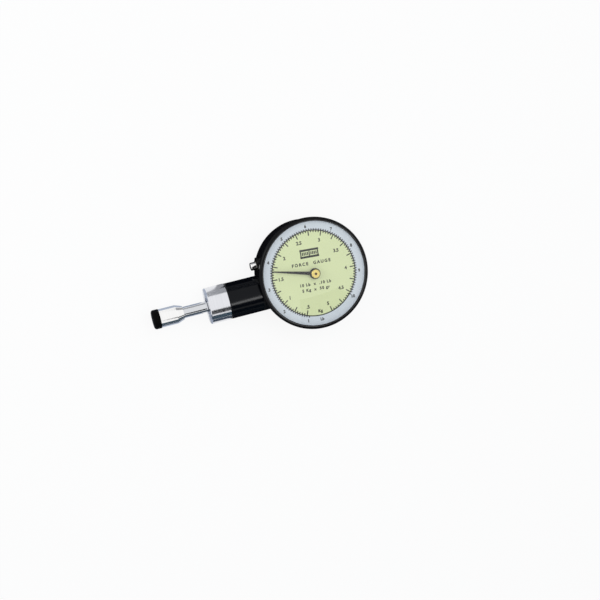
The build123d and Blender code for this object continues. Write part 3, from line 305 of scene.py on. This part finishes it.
DIAL_CENTRE = (0, 0, 0)
UPRIGHT = (0, 0, 1)
LENGTHWISE = (1, 0, 0)        # the way the barrel and the button point

turned_lacquer = turned_finish("turned_black_lacquer", LACQUER, LACQUER_WORN, roughness=0.26,
                               centre=DIAL_CENTRE, axis=UPRIGHT, depth=0.0012 * MM, metallic=0.0, shine=0.22)
dress(turned_lacquer, "back_cover")

# ---- Screws ------------------------------------------------------------------------------------
# Small slotted screws of blackened steel hold the cover, the movement and the rack's guide. Their
# heads are turned and their slots sawn, which leaves bright edges on the black.

BLACKENED = (0.075, 0.072, 0.070, 1)
BRIGHT_STEEL = (0.56, 0.57, 0.58, 1)

blackened_steel = grained_finish("blackened_steel", BLACKENED, BRIGHT_STEEL, roughness=0.38,
                                 depth=0.002 * MM, scale=1500.0, metallic=1.0, wear=0.9)
dress(blackened_steel, "cover_screws", "movement_screws", "guide_screws")

# ---- Barrel ------------------------------------------------------------------------------------
# The barrel is an aluminium tube screwed over the case's nose. It is turned smooth and anodised
# black, so it shines more than the cast case.

barrel_axis = centre_of("barrel_tube")

black_anodised = turned_finish("black_anodised", color=(0.0010, 0.0016, 0.0030, 1),
                               worn_color=(0.05, 0.05, 0.055, 1), roughness=0.14, centre=barrel_axis,
                               axis=LENGTHWISE, depth=0.0008 * MM, metallic=0.0, shine=0.15)
dress(black_anodised, "barrel_tube")

# ---- Collar ------------------------------------------------------------------------------------
# The collar closes the barrel's end. It is turned from aluminium and left bright under a clear
# anodised film, with the tool's rings plain on its end face.

bright_aluminium = turned_finish("bright_aluminium", color=(0.80, 0.81, 0.845, 1),
                                 worn_color=(0.92, 0.93, 0.95, 1), roughness=0.13, centre=barrel_axis,
                                 axis=LENGTHWISE, depth=0.004 * MM, tone=0.10, marks=7000.0)
dress(bright_aluminium, "end_collar")

# ---- Bushes ------------------------------------------------------------------------------------
# The plunger's inner end runs in a bearing-bronze bush, and the arbors in four small ones. All are
# turned and reamed.

BRONZE = (0.58, 0.36, 0.17, 1)
BRONZE_EDGE = (0.80, 0.60, 0.38, 1)

turned_bronze = turned_finish("bearing_bronze", BRONZE, BRONZE_EDGE, roughness=0.30, centre=barrel_axis,
                              axis=LENGTHWISE, depth=0.003 * MM, tone=0.18)
dress(turned_bronze, "rear_bush")
bushing_bronze = grained_finish("bushing_bronze", BRONZE, BRONZE_EDGE, roughness=0.32, depth=0.002 * MM,
                                metallic=1.0, scale=1500.0)
dress(bushing_bronze, "arbor_bushes")

# ---- Plunger -----------------------------------------------------------------------------------
# A ground and plated steel rod carries the load in. Its spring seat, its clip and the bush it runs
# in at the collar are plain steel, and its rack is milled from a steel bar and pinned into the rod.

PLATED = (0.70, 0.715, 0.74, 1)
GROUND = (0.60, 0.61, 0.63, 1)

plated_rod = turned_finish("plated_rod", PLATED, PLATED, roughness=0.07, centre=barrel_axis,
                           axis=LENGTHWISE, depth=0.0008 * MM, tone=0.06, marks=12000.0)
dress(plated_rod, "plunger_rod")
turned_steel = turned_finish("turned_steel", GROUND, BRIGHT_STEEL, roughness=0.26, centre=barrel_axis,
                             axis=LENGTHWISE, depth=0.003 * MM)
dress(turned_steel, "spring_seat", "front_bush")
ground_steel = grained_finish("ground_steel", GROUND, worn_color=(0.80, 0.81, 0.83, 1), roughness=0.27,
                              depth=0.0015 * MM, scale=1800.0, metallic=1.0)
dress(ground_steel, "rack", "rack_pins", "seat_clip")

# ---- Tip ---------------------------------------------------------------------------------------
# A nickel-plated brass holder screws onto the rod and holds a moulded black rubber tip, which is
# pressed against the load.

NICKEL = (0.95, 0.945, 0.94, 1)

bright_nickel = turned_finish("bright_nickel", NICKEL, worn_color=(0.95, 0.93, 0.90, 1), roughness=0.08,
                              centre=barrel_axis, axis=LENGTHWISE, depth=0.0012 * MM, tone=0.06,
                              marks=8000.0)
dress(bright_nickel, "tip_holder")

moulded_rubber = grained_finish("moulded_rubber", color=(0.0012, 0.0012, 0.0013, 1),
                                worn_color=(0.012, 0.012, 0.012, 1), roughness=0.55, depth=0.010 * MM,
                                spread=0.5, scale=1300.0, wear=0.6, shine=0.05)
dress(moulded_rubber, "rubber_tip")

# ---- Springs -----------------------------------------------------------------------------------
# The main spring takes the load, and the brake, reset and hairsprings are finer. All are wound in
# hard-drawn wire, from which the bezel's snap ring is bent too. It is left oiled, and is a darker and
# blotchier grey than ground steel.

oiled_wire = grained_finish("oiled_spring_wire", color=(0.36, 0.35, 0.36, 1), worn_color=BRIGHT_STEEL,
                            roughness=0.27, depth=0.001 * MM, spread=0.35, scale=1600.0, metallic=1.0,
                            wear=0.2)
dress(oiled_wire, "hairspring", "bezel_snap_ring")

WIRE_SIDES = 12
STEPS_A_TURN = 32


def mesh_from(shape, name):
    """A mesh made from a bmesh, which is freed."""
    mesh = bpy.data.meshes.new(name)
    shape.to_mesh(mesh)
    shape.free()
    return mesh


def new_object(name, data):
    """An object in the scene, at the origin."""
    made = bpy.data.objects.new(name, data)
    bpy.context.scene.collection.objects.link(made)
    return made


def coil_spring(node, wire_r, turns):
    """Round wire wound along X where a node lies, with a closed turn at each end, which stands in for the
    node."""
    low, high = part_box(node)
    middle = (low + high) / 2
    radius = (high.y - low.y) / 2 - wire_r
    closed = 2 * wire_r / STEPS_A_TURN
    rise = high.x - low.x - 2 * wire_r
    open_turns = turns - 2
    opened = (rise - 2 * closed * STEPS_A_TURN) / (open_turns * STEPS_A_TURN)
    coil = bmesh.new()
    wire = bmesh.ops.create_circle(coil, cap_ends=True, segments=WIRE_SIDES, radius=wire_r,
                                   matrix=Matrix.Translation((low.x + wire_r, middle.y, middle.z + radius))
                                   @ Matrix.Rotation(math.radians(90), 4, "X"))
    end = list(coil.faces) + list(coil.edges) + wire["verts"]
    for advance, wound in ((closed, 1), (opened, open_turns), (closed, 1)):
        spun = bmesh.ops.spin(coil, geom=end, cent=middle, axis=(1, 0, 0), dvec=(advance, 0, 0),
                              angle=math.tau * wound, steps=STEPS_A_TURN * wound)
        end = spun["geom_last"]
    bmesh.ops.recalc_face_normals(coil, faces=coil.faces)
    for face in coil.faces:
        face.smooth = len(face.verts) == 4      # the cut ends stay flat
    spring = new_object(node + "_wire", mesh_from(coil, node + "_wire"))
    spring.data.materials.append(oiled_wire)
    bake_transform(spring)
    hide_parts(node)


coil_spring("main_spring", wire_r=0.8 * MM, turns=6)
coil_spring("brake_spring", wire_r=0.15 * MM, turns=7)
coil_spring("reset_spring", wire_r=0.15 * MM, turns=4)

# ---- Movement plates ---------------------------------------------------------------------------
# Two brass plates, held apart by riveted steel pillars, carry the gear train. Their faces are
# grained in straight lines with an abrasive and left bare.

BRASS = (0.78, 0.57, 0.22, 1)
BRASS_EDGE = (0.90, 0.74, 0.40, 1)
BRUSH_STRETCH = (40, 4200, 4200)    # the lines are long along x and fine across it
BRUSH_SHADE = 0.82            # how dark the bottoms of the lines are
BRUSH_GLOSS = 0.2             # how far the lines move the roughness from end to end


def brushed_finish(name, color, worn_color, roughness, depth):
    """A finish grained in straight lines along x."""
    material, nodes, links, shader = new_material(name)
    place = nodes.new("ShaderNodeTexCoord")
    drawn = nodes.new("ShaderNodeMapping")
    drawn.inputs["Scale"].default_value = BRUSH_STRETCH
    lines = nodes.new("ShaderNodeTexNoise")
    lines.inputs["Scale"].default_value = 1.0
    lines.inputs["Detail"].default_value = 3
    links.new(place.outputs["Object"], drawn.inputs["Vector"])
    links.new(drawn.outputs["Vector"], lines.inputs["Vector"])
    darker = tuple(part * BRUSH_SHADE for part in color[:3]) + (1,)
    edges = group_node(nodes, edge_wear, Worn_Color=worn_color, Amount=0.6)
    links.new(mixed(nodes, links, lines.outputs["Fac"], darker, color), edges.inputs["Color"])
    links.new(edges.outputs["Color"], shader.inputs["Base Color"])
    rough = maths(nodes, links, "MULTIPLY_ADD", lines.outputs["Fac"], BRUSH_GLOSS,
                  roughness - BRUSH_GLOSS / 2)
    links.new(rough, shader.inputs["Roughness"])
    shader.inputs["Metallic"].default_value = 1.0
    bump(nodes, links, shader, lines.outputs["Fac"], depth)
    return material


brushed_brass = brushed_finish("brushed_brass", BRASS, BRASS_EDGE, roughness=0.30, depth=0.003 * MM)
dress(brushed_brass, "front_plate", "rear_plate", "rack_guide")
dress(ground_steel, "plate_pillars", "pillar_screws")

# ---- Gear train --------------------------------------------------------------------------------
# The rack turns a steel pinion, whose brass wheel turns the pointer's arbor of browned steel. Wheel
# and pinions are turned and hobbed, so their faces show rings around their own arbors.

wheel_brass = turned_finish("wheel_brass", BRASS, BRASS_EDGE, roughness=0.24,
                            centre=centre_of("gear_wheel"), axis=UPRIGHT, depth=0.003 * MM, tone=0.15)
dress(wheel_brass, "gear_wheel")
pinion_steel = turned_finish("pinion_steel", GROUND, BRIGHT_STEEL, roughness=0.20,
                             centre=centre_of("rack_pinion"), axis=UPRIGHT, depth=0.002 * MM)
dress(pinion_steel, "rack_pinion")
arbor_steel = turned_finish("browned_steel", color=(0.10, 0.055, 0.02, 1), worn_color=(0.35, 0.24, 0.12, 1),
                            roughness=0.30, centre=DIAL_CENTRE, axis=UPRIGHT, depth=0.002 * MM)
dress(arbor_steel, "centre_arbor")
dress(brushed_brass, "hairspring_stud")

# ---- Peak hold ---------------------------------------------------------------------------------
# A lever of blued steel presses a brown friction shoe on a brass wheel, which holds the pointer at
# the highest load until the button frees it.

brake_brass = turned_finish("brake_wheel_brass", BRASS, BRASS_EDGE, roughness=0.24, centre=DIAL_CENTRE,
                            axis=UPRIGHT, depth=0.003 * MM, tone=0.15)
dress(brake_brass, "brake_wheel")
blued_steel = grained_finish("blued_steel", color=(0.10, 0.12, 0.20, 1), worn_color=BRIGHT_STEEL,
                             roughness=0.25, depth=0.001 * MM, spread=0.4, scale=1200.0, metallic=1.0)
dress(blued_steel, "brake_lever")
dress(ground_steel, "lever_post", "lever_clip", "spring_post", "button_clip")
friction_pad = grained_finish("friction_pad", color=(0.11, 0.052, 0.028, 1),
                              worn_color=(0.20, 0.12, 0.07, 1), roughness=0.8, depth=0.03 * MM, spread=0.5,
                              scale=2200.0)
dress(friction_pad, "brake_shoe")

# ---- Reset button ------------------------------------------------------------------------------
# A nickel-plated push button runs in a turned bush on the case's side and is sprung outwards.

button_axis = centre_of("reset_button")

button_nickel = turned_finish("button_nickel", NICKEL, worn_color=(0.90, 0.84, 0.72, 1), roughness=0.12,
                              centre=button_axis, axis=LENGTHWISE, depth=0.001 * MM, tone=0.06)
dress(button_nickel, "reset_button")
bush_lacquer = turned_finish("bush_black", LACQUER, worn_color=(0.35, 0.30, 0.20, 1), roughness=0.24,
                             centre=button_axis, axis=LENGTHWISE, depth=0.001 * MM, metallic=0.0, shine=0.2)
dress(bush_lacquer, "button_bush")

# ---- Bezel -------------------------------------------------------------------------------------
# The bezel is turned from aluminium, lacquered gloss black, and snaps over the case's neck. The
# dial, a pale silicone seal and the crystal are held in it, and the whole turns to set zero.

gloss_lacquer = turned_finish("gloss_black_lacquer", color=(0.0022, 0.0023, 0.0030, 1),
                              worn_color=LACQUER_WORN, roughness=0.16, centre=DIAL_CENTRE, axis=UPRIGHT,
                              depth=0.0006 * MM, metallic=0.0, shine=0.12, wear=0.25)
dress(gloss_lacquer, "bezel_ring")
pale_silicone = grained_finish("pale_silicone", color=(0.70, 0.73, 0.78, 1),
                               worn_color=(0.78, 0.80, 0.83, 1), roughness=0.5, depth=0.004 * MM, spread=0.08)
dress(pale_silicone, "crystal_seal")

# ---- Dial plate --------------------------------------------------------------------------------
# The dial is a thin aluminium plate printed matt in two colours: a pale green middle for kilograms
# and a pale grey ring for pounds.

DIAL_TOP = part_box("dial_plate")[1].z
SCALE_R = 23.2 * MM           # circle line between the two scales
MIDDLE_GREEN = (0.74, 0.80, 0.455, 1)
RING_GREY = (0.68, 0.725, 0.80, 1)


def dial_paint():
    """Two matt inks with a sharp edge between them, each a little uneven, over the plate."""
    material, nodes, links, shader = new_material("dial_paint")
    place = nodes.new("ShaderNodeTexCoord")
    flat = vector_maths(nodes, links, "MULTIPLY", place.outputs["Object"], (1, 1, 0))
    radius = vector_maths(nodes, links, "LENGTH", flat)
    outside = maths(nodes, links, "GREATER_THAN", radius, SCALE_R)
    body = group_node(nodes, grain, Spread=0.05, Roughness=0.5, Scale=1400.0)
    links.new(mixed(nodes, links, outside, MIDDLE_GREEN, RING_GREY), body.inputs["Color"])
    links.new(body.outputs["Color"], shader.inputs["Base Color"])
    links.new(body.outputs["Roughness"], shader.inputs["Roughness"])
    bump(nodes, links, shader, body.outputs["Height"], 0.002 * MM)
    return material


dress(dial_paint(), "dial_plate")

# ---- Dial's scales and numbers -----------------------------------------------------------------
# The scales are printed in black ink on the plate: kilograms inside the circle line, pounds
# outside. One turn of the pointer is 5 kg, and both scales start a little left of the foot.

INK_THICK = 0.03 * MM
INK_SUNK = 0.01 * MM          # ink soaks into the paint below it
INK_SPREAD = 0.10 * MM        # type prints this much bolder than it is cut
DIAL_TURN = math.radians(-3.75)   # the dial is set a little clockwise
ZERO_ANGLE = math.radians(-72)
KG_STEP = math.radians(-72)   # per kilogram
KG_PER_LB = 0.45359237
LINE_WIDE = 0.56 * MM
TICK_WIDE = 0.62 * MM
MARK_WIDE = 0.56 * MM
TICK_IN = 1.05 * MM
MARK_IN = 2.8 * MM
TICK_OUT = 0.95 * MM
KG_NUMBER_R = 18.3 * MM
WIDE_NUMBER_IN = 0.8 * MM     # how much nearer the centre 3.5 and 4.5 stand
LB_NUMBER_R = 25.75 * MM
NUMBERS_X, NUMBERS_Y = -0.25 * MM, -0.25 * MM   # the numbers' ring is a little off centre
KG_NUMBER_TALL = 1.75 * MM
LB_NUMBER_TALL = 1.6 * MM
DIGIT_TALL = 0.70             # share of the type's size that a digit's height takes
INK_MIDDLE = DIAL_TOP + INK_THICK / 2 - INK_SUNK
CIRCLE_STEPS = 240

ink = bmesh.new()


def ink_bar(angle, inner, outer, wide):
    """One printed line along a radius."""
    place = (Matrix.Rotation(angle, 4, "Z")
             @ Matrix.Translation(((inner + outer) / 2, 0, INK_MIDDLE))
             @ Matrix.Diagonal((outer - inner, wide, INK_THICK, 1)))
    bmesh.ops.create_cube(ink, size=1, matrix=place)


def ink_block(x, y, wide, tall):
    """A printed block, upright on the dial, centred on a place given before the dial is turned."""
    place = (Matrix.Rotation(DIAL_TURN, 4, "Z")
             @ Matrix.Translation((x, y, INK_MIDDLE))
             @ Matrix.Diagonal((wide, tall, INK_THICK, 1)))
    bmesh.ops.create_cube(ink, size=1, matrix=place)


def ink_circle(radius, wide):
    """A printed circle: a small upright face spun around the dial's centre."""
    made = bmesh.new()
    low = DIAL_TOP - INK_SUNK
    corners = [made.verts.new(point) for point in (
        (radius - wide / 2, 0, low), (radius + wide / 2, 0, low),
        (radius + wide / 2, 0, low + INK_THICK), (radius - wide / 2, 0, low + INK_THICK))]
    face = made.faces.new(corners)
    bmesh.ops.spin(made, geom=list(face.edges), cent=DIAL_CENTRE, axis=UPRIGHT, angle=math.tau,
                   steps=CIRCLE_STEPS, use_merge=True)
    bmesh.ops.delete(made, geom=[face], context="FACES_ONLY")
    bmesh.ops.recalc_face_normals(made, faces=made.faces)
    ink.from_mesh(mesh_from(made, "circle"))


def ink_words(words, x, y, tall, spaced=1.0):
    """Printed words, upright on the dial, centred on a place given before the dial is turned."""
    type_face = bpy.data.curves.new("type", "FONT")
    type_face.body = words
    type_face.size = tall / DIGIT_TALL
    type_face.space_character = spaced
    type_face.align_x, type_face.align_y = "CENTER", "CENTER"
    type_face.extrude = INK_THICK / 2
    type_face.offset = INK_SPREAD
    type_face.resolution_u = 3
    setting = new_object("type", type_face)
    mesh = bpy.data.meshes.new_from_object(setting.evaluated_get(bpy.context.evaluated_depsgraph_get()))
    bpy.data.objects.remove(setting)
    mesh.transform(Matrix.Rotation(DIAL_TURN, 4, "Z") @ Matrix.Translation((x, y, INK_MIDDLE)))
    ink.from_mesh(mesh)


def kg_angle(kilograms):
    """Where a load stands on the dial, before the dial is turned."""
    return ZERO_ANGLE + KG_STEP * kilograms


def ink_number(value, kilograms, radius, tall):
    """A number such as 5, 4.5 or .5, upright where its load stands."""
    angle = kg_angle(kilograms)
    ink_words(f"{value:g}".lstrip("0"), radius * math.cos(angle) + NUMBERS_X,
              radius * math.sin(angle) + NUMBERS_Y, tall)


TICKS = range(10, 101)        # counted from zero load, and printed from the tenth on
KG_TICK = 0.05
LB_TICK = 0.1
LONG_EVERY = 5
KG_NUMBER_STEP = 0.5
NUMBERS = range(1, 11)
WIDE_NUMBERS = (3.5, 4.5)

ink_circle(SCALE_R, LINE_WIDE)
for step in TICKS:
    angle = kg_angle(step * KG_TICK) + DIAL_TURN
    if step % LONG_EVERY == 0:
        ink_bar(angle, SCALE_R - MARK_IN, SCALE_R, MARK_WIDE)
    else:
        ink_bar(angle, SCALE_R - TICK_IN, SCALE_R, TICK_WIDE)
for step in TICKS:
    angle = kg_angle(step * LB_TICK * KG_PER_LB) + DIAL_TURN
    ink_bar(angle, SCALE_R, SCALE_R + TICK_OUT, TICK_WIDE)
for count in NUMBERS:
    kilograms = count * KG_NUMBER_STEP
    nearer = WIDE_NUMBER_IN if kilograms in WIDE_NUMBERS else 0
    ink_number(kilograms, kilograms, KG_NUMBER_R - nearer, KG_NUMBER_TALL)
for pounds in NUMBERS:
    ink_number(pounds, pounds * KG_PER_LB, LB_NUMBER_R, LB_NUMBER_TALL)
ink_words("Kg", x=0.6 * MM, y=-20.9 * MM, tall=1.6 * MM)
ink_words("Lb", x=1.0 * MM, y=-25.5 * MM, tall=1.5 * MM)
ink_words("10 Lb  x  .10 Lb", x=0, y=-5.7 * MM, tall=1.5 * MM, spaced=1.25)
ink_words("5 Kg  x  50 gr", x=-0.1 * MM, y=-8.7 * MM, tall=1.5 * MM, spaced=1.25)
ink_words("FORCE  GAUGE", x=-0.7 * MM, y=5.6 * MM, tall=1.6 * MM, spaced=1.45)

# a plain ruled plate stands above the centre
PLATE_WIDE = 10.5 * MM
PLATE_TALL = 3.7 * MM
PLATE_X, PLATE_Y = -1.0 * MM, 11.1 * MM
BAR_TALL = 1.1 * MM
COLUMNS = 11
LAST_COLUMN = COLUMNS // 2    # counted from the middle one
COLUMN_WIDE = 0.62 * MM
LONG_COLUMN, SHORT_COLUMN = 0.68, 0.45    # shares of the plate's height
for row in (-1, 1):
    ink_block(PLATE_X, PLATE_Y + row * PLATE_TALL / 2, PLATE_WIDE, BAR_TALL)
for column in range(-LAST_COLUMN, LAST_COLUMN + 1):
    share = LONG_COLUMN if column % LAST_COLUMN == 0 else SHORT_COLUMN
    ink_block(PLATE_X + column * PLATE_WIDE / COLUMNS, PLATE_Y, COLUMN_WIDE, PLATE_TALL * share)

SEAM = 0.0005 * MM            # corners nearer than this are one corner
bmesh.ops.remove_doubles(ink, verts=ink.verts, dist=SEAM)
bmesh.ops.recalc_face_normals(ink, faces=ink.faces)
dial_print = new_object("dial_print", mesh_from(ink, "dial_print"))
black_ink = grained_finish("black_ink", color=(0.006, 0.008, 0.006, 1), worn_color=(0.02, 0.02, 0.018, 1),
                           roughness=0.55, depth=0.001 * MM, spread=0.6, scale=2500.0, wear=0.2, shine=0.1)
dial_print.data.materials.append(black_ink)
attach(dial_print, "bezel")

# ---- Crystal -----------------------------------------------------------------------------------
# The crystal is pressed from clear acrylic sheet into a low dome and polished. It stands in the
# bezel on its seal, and handling leaves faint smears that change its gloss a little.

SMEAR_GLOSS = 0.05

crystal, nodes, links, shader = new_material("clear_acrylic")
shader.inputs["Base Color"].default_value = (0.985, 0.99, 0.985, 1)
shader.inputs["Metallic"].default_value = 0.0
shader.inputs["Transmission Weight"].default_value = 1.0
shader.inputs["IOR"].default_value = 1.49
shader.inputs["Specular IOR Level"].default_value = 0.1
place = nodes.new("ShaderNodeTexCoord")
smears = nodes.new("ShaderNodeTexNoise")
smears.inputs["Scale"].default_value = 120.0
smears.inputs["Detail"].default_value = 3
links.new(place.outputs["Object"], smears.inputs["Vector"])
links.new(maths(nodes, links, "MULTIPLY", smears.outputs["Fac"], SMEAR_GLOSS), shader.inputs["Roughness"])
through = nodes.new("ShaderNodeBsdfTransparent")
through.inputs["Color"].default_value = (0.95, 0.96, 0.95, 1)
rays = nodes.new("ShaderNodeLightPath")
pane = nodes.new("ShaderNodeMixShader")         # light reaches the dial straight through it
links.new(maths(nodes, links, "MAXIMUM", rays.outputs["Is Shadow Ray"], rays.outputs["Is Diffuse Ray"]),
          pane.inputs["Fac"])
links.new(shader.outputs["BSDF"], pane.inputs[1])
links.new(through.outputs["BSDF"], pane.inputs[2])
links.new(pane.outputs["Shader"], nodes["Material Output"].inputs["Surface"])
dress(crystal, "crystal")

# ---- Pointer -----------------------------------------------------------------------------------
# The pointer is stamped from thin brass and painted matt black. A turned brass hub is pressed over
# it, with the arbor's end showing in its middle.

matt_black = grained_finish("matt_black_paint", color=(0.003, 0.004, 0.003, 1),
                            worn_color=(0.20, 0.16, 0.08, 1), roughness=0.5, depth=0.002 * MM, scale=1800.0,
                            wear=0.1, shine=0.1)
dress(matt_black, "pointer")
hub_brass = turned_finish("hub_brass", color=(1.0, 0.80, 0.25, 1), worn_color=(0.95, 0.80, 0.45, 1),
                          roughness=0.34, centre=DIAL_CENTRE, axis=UPRIGHT, depth=0.004 * MM, tone=0.10,
                          marks=5000.0)
dress(hub_brass, "pointer_hub")

# ---- Floor and light ---------------------------------------------------------------------------
# The gauge lies on its back on a pale floor under soft studio boxes. Cards that only reflections see stand
# and lie around it. Their colours are painted reflections, and the dark ones are painted shade, so that its
# polished parts have dark sides too.

FLOOR_R = 3.0                 # metres
BACKGROUND = 0.88             # share of the floor that shows as plain white

floor_shape = bmesh.new()
bmesh.ops.create_circle(floor_shape, cap_ends=True, segments=64, radius=FLOOR_R)
floor = new_object("floor", mesh_from(floor_shape, "floor"))
paper, nodes, links, shader = new_material("pale_floor")
shader.inputs["Base Color"].default_value = (0.86, 0.86, 0.86, 1)
shader.inputs["Roughness"].default_value = 0.9
shader.inputs["Specular IOR Level"].default_value = 0.1
white = nodes.new("ShaderNodeEmission")
white.inputs["Strength"].default_value = 1.0


def seen_by_eye(nodes, links):
    """1 where a ray shows a surface, straight, reflected or through the crystal, and 0 where it lights."""
    rays = nodes.new("ShaderNodeLightPath")
    bent = maths(nodes, links, "MAXIMUM", rays.outputs["Is Glossy Ray"], rays.outputs["Is Transmission Ray"])
    return maths(nodes, links, "MAXIMUM", rays.outputs["Is Camera Ray"], bent)


mix = nodes.new("ShaderNodeMixShader")
links.new(maths(nodes, links, "MULTIPLY", seen_by_eye(nodes, links), BACKGROUND), mix.inputs["Fac"])
links.new(shader.outputs["BSDF"], mix.inputs[1])
links.new(white.outputs["Emission"], mix.inputs[2])
links.new(mix.outputs["Shader"], nodes["Material Output"].inputs["Surface"])
floor.data.materials.append(paper)

world = bpy.data.worlds.new("studio")
bpy.context.scene.world = world
world.use_nodes = True
nodes, links = world.node_tree.nodes, world.node_tree.links
ambient = nodes["Background"]
ambient.inputs["Color"].default_value = (0.94, 0.97, 1.0, 1)
ambient.inputs["Strength"].default_value = 0.62
backdrop = nodes.new("ShaderNodeBackground")
backdrop.inputs["Color"].default_value = (1, 1, 1, 1)
backdrop.inputs["Strength"].default_value = 1.0
mix = nodes.new("ShaderNodeMixShader")
links.new(seen_by_eye(nodes, links), mix.inputs["Fac"])
links.new(ambient.outputs["Background"], mix.inputs[1])
links.new(backdrop.outputs["Background"], mix.inputs[2])
links.new(mix.outputs["Shader"], nodes["World Output"].inputs["Surface"])


def soft_box(name, place, aim, wide, tall, power):
    """A rectangular lamp at a place, turned to shine at a point."""
    data = bpy.data.lights.new(name, "AREA")
    data.shape = "RECTANGLE"
    data.size, data.size_y, data.energy = wide, tall, power
    lamp = new_object(name, data)
    lamp.location = place
    lamp.rotation_euler = (Vector(aim) - Vector(place)).to_track_quat("-Z", "Y").to_euler()
    return lamp


# the key strip only draws highlights on the black outer parts
key = soft_box("key_strip", (0.09, -0.155, 0.575), (-0.04, -0.005, 0.01), wide=0.26, tall=0.10, power=0.70)
lit_by_key = bpy.data.collections.new("lit_by_key")
for name in ("case_body", "barrel_tube", "bezel_ring"):
    lit_by_key.objects.link(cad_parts[name])
key.light_linking.receiver_collection = lit_by_key
overhead = soft_box("overhead", (0.05, 0.15, 0.75), (0, 0, 0.01), wide=0.5, tall=0.5, power=2.0)
overhead.visible_glossy = overhead.visible_transmission = False
soft_box("fill", (-0.65, 0.35, 0.45), (-0.02, 0, 0.01), wide=0.4, tall=0.4, power=1.2)


def reflection_card(name, place, turn, wide, tall, color):
    """A matt card that only reflections see. Its colour is a painted reflection, and painted shade where it
    is dark.
    """
    sheet = bmesh.new()
    bmesh.ops.create_grid(sheet, x_segments=1, y_segments=1, size=0.5,
                          matrix=Matrix.Translation(place) @ Matrix.Rotation(turn, 4, "X")
                          @ Matrix.Diagonal((wide, tall, 1, 1)))
    card = new_object(name, mesh_from(sheet, name))
    painted_reflection, *_, shader = new_material(name + "_felt")
    shader.inputs["Base Color"].default_value = color
    shader.inputs["Roughness"].default_value = 0.95
    shader.inputs["Specular IOR Level"].default_value = 0.0
    card.data.materials.append(painted_reflection)
    card.visible_camera = card.visible_diffuse = card.visible_shadow = card.visible_transmission = False


STANDING = math.radians(90)
LYING = 0.0
# painted reflections: the near and foot cards paint the floor's contact shadow and the hand's shadow as the
# metal reflects them, the high and low cards paint dark bands with a bright slit between them, and the end
# card's blue-grey paints the collar's end face
for name, place, turn, wide, tall, color in (
        ("high_card", (0.172, -0.30, 0.45), STANDING, 0.4, 0.40, (0.015, 0.017, 0.02, 1)),
        ("low_card", (0.03, -0.30, 0.095), STANDING, 0.8, 0.17, (0.055, 0.09, 0.12, 1)),
        ("back_card", (0.157, 0.30, 0.07), STANDING, 0.4, 0.14, (0.50, 0.50, 0.51, 1)),
        ("near_shade_card", (0.03, -0.19, 0.0004), LYING, 0.8, 0.30, (0.06, 0.08, 0.11, 1)),
        ("far_mat", (0.165, 0.245, 0.0004), LYING, 0.43, 0.49, (0.40, 0.40, 0.41, 1)),
        ("end_mat", (-0.115, -0.005, 0.0003), LYING, 0.11, 0.07, (0.45, 0.50, 0.60, 1)),
        ("foot_shade_card", (0, 0, 0.0005), LYING, 0.09, 0.09, (0.02, 0.02, 0.025, 1))):
    reflection_card(name, place, turn, wide, tall, color)

# ---- Camera ------------------------------------------------------------------------------------
# It looks down on the dial from half a metre away, a little to the left and above, and is rolled so
# that the barrel runs to the lower left.

CAMERA_PLACE = Vector((-125.24, 80.80, 519.77)) * MM
LOOKS = Vector((0.2205, -0.1793, -0.9588))
RIGHTWARD = Vector((0.9443, -0.2069, 0.2559))

camera_data = bpy.data.cameras.new("camera")
camera_data.sensor_width = 36
camera_data.lens = 57.78
camera = new_object("camera", camera_data)
back = -LOOKS.normalized()
up = back.cross(RIGHTWARD).normalized()
facing = Matrix((up.cross(back), up, back)).transposed().to_4x4()
camera.matrix_world = Matrix.Translation(CAMERA_PLACE) @ facing
bpy.context.scene.camera = camera
bpy.context.scene.view_settings.view_transform = "Standard"
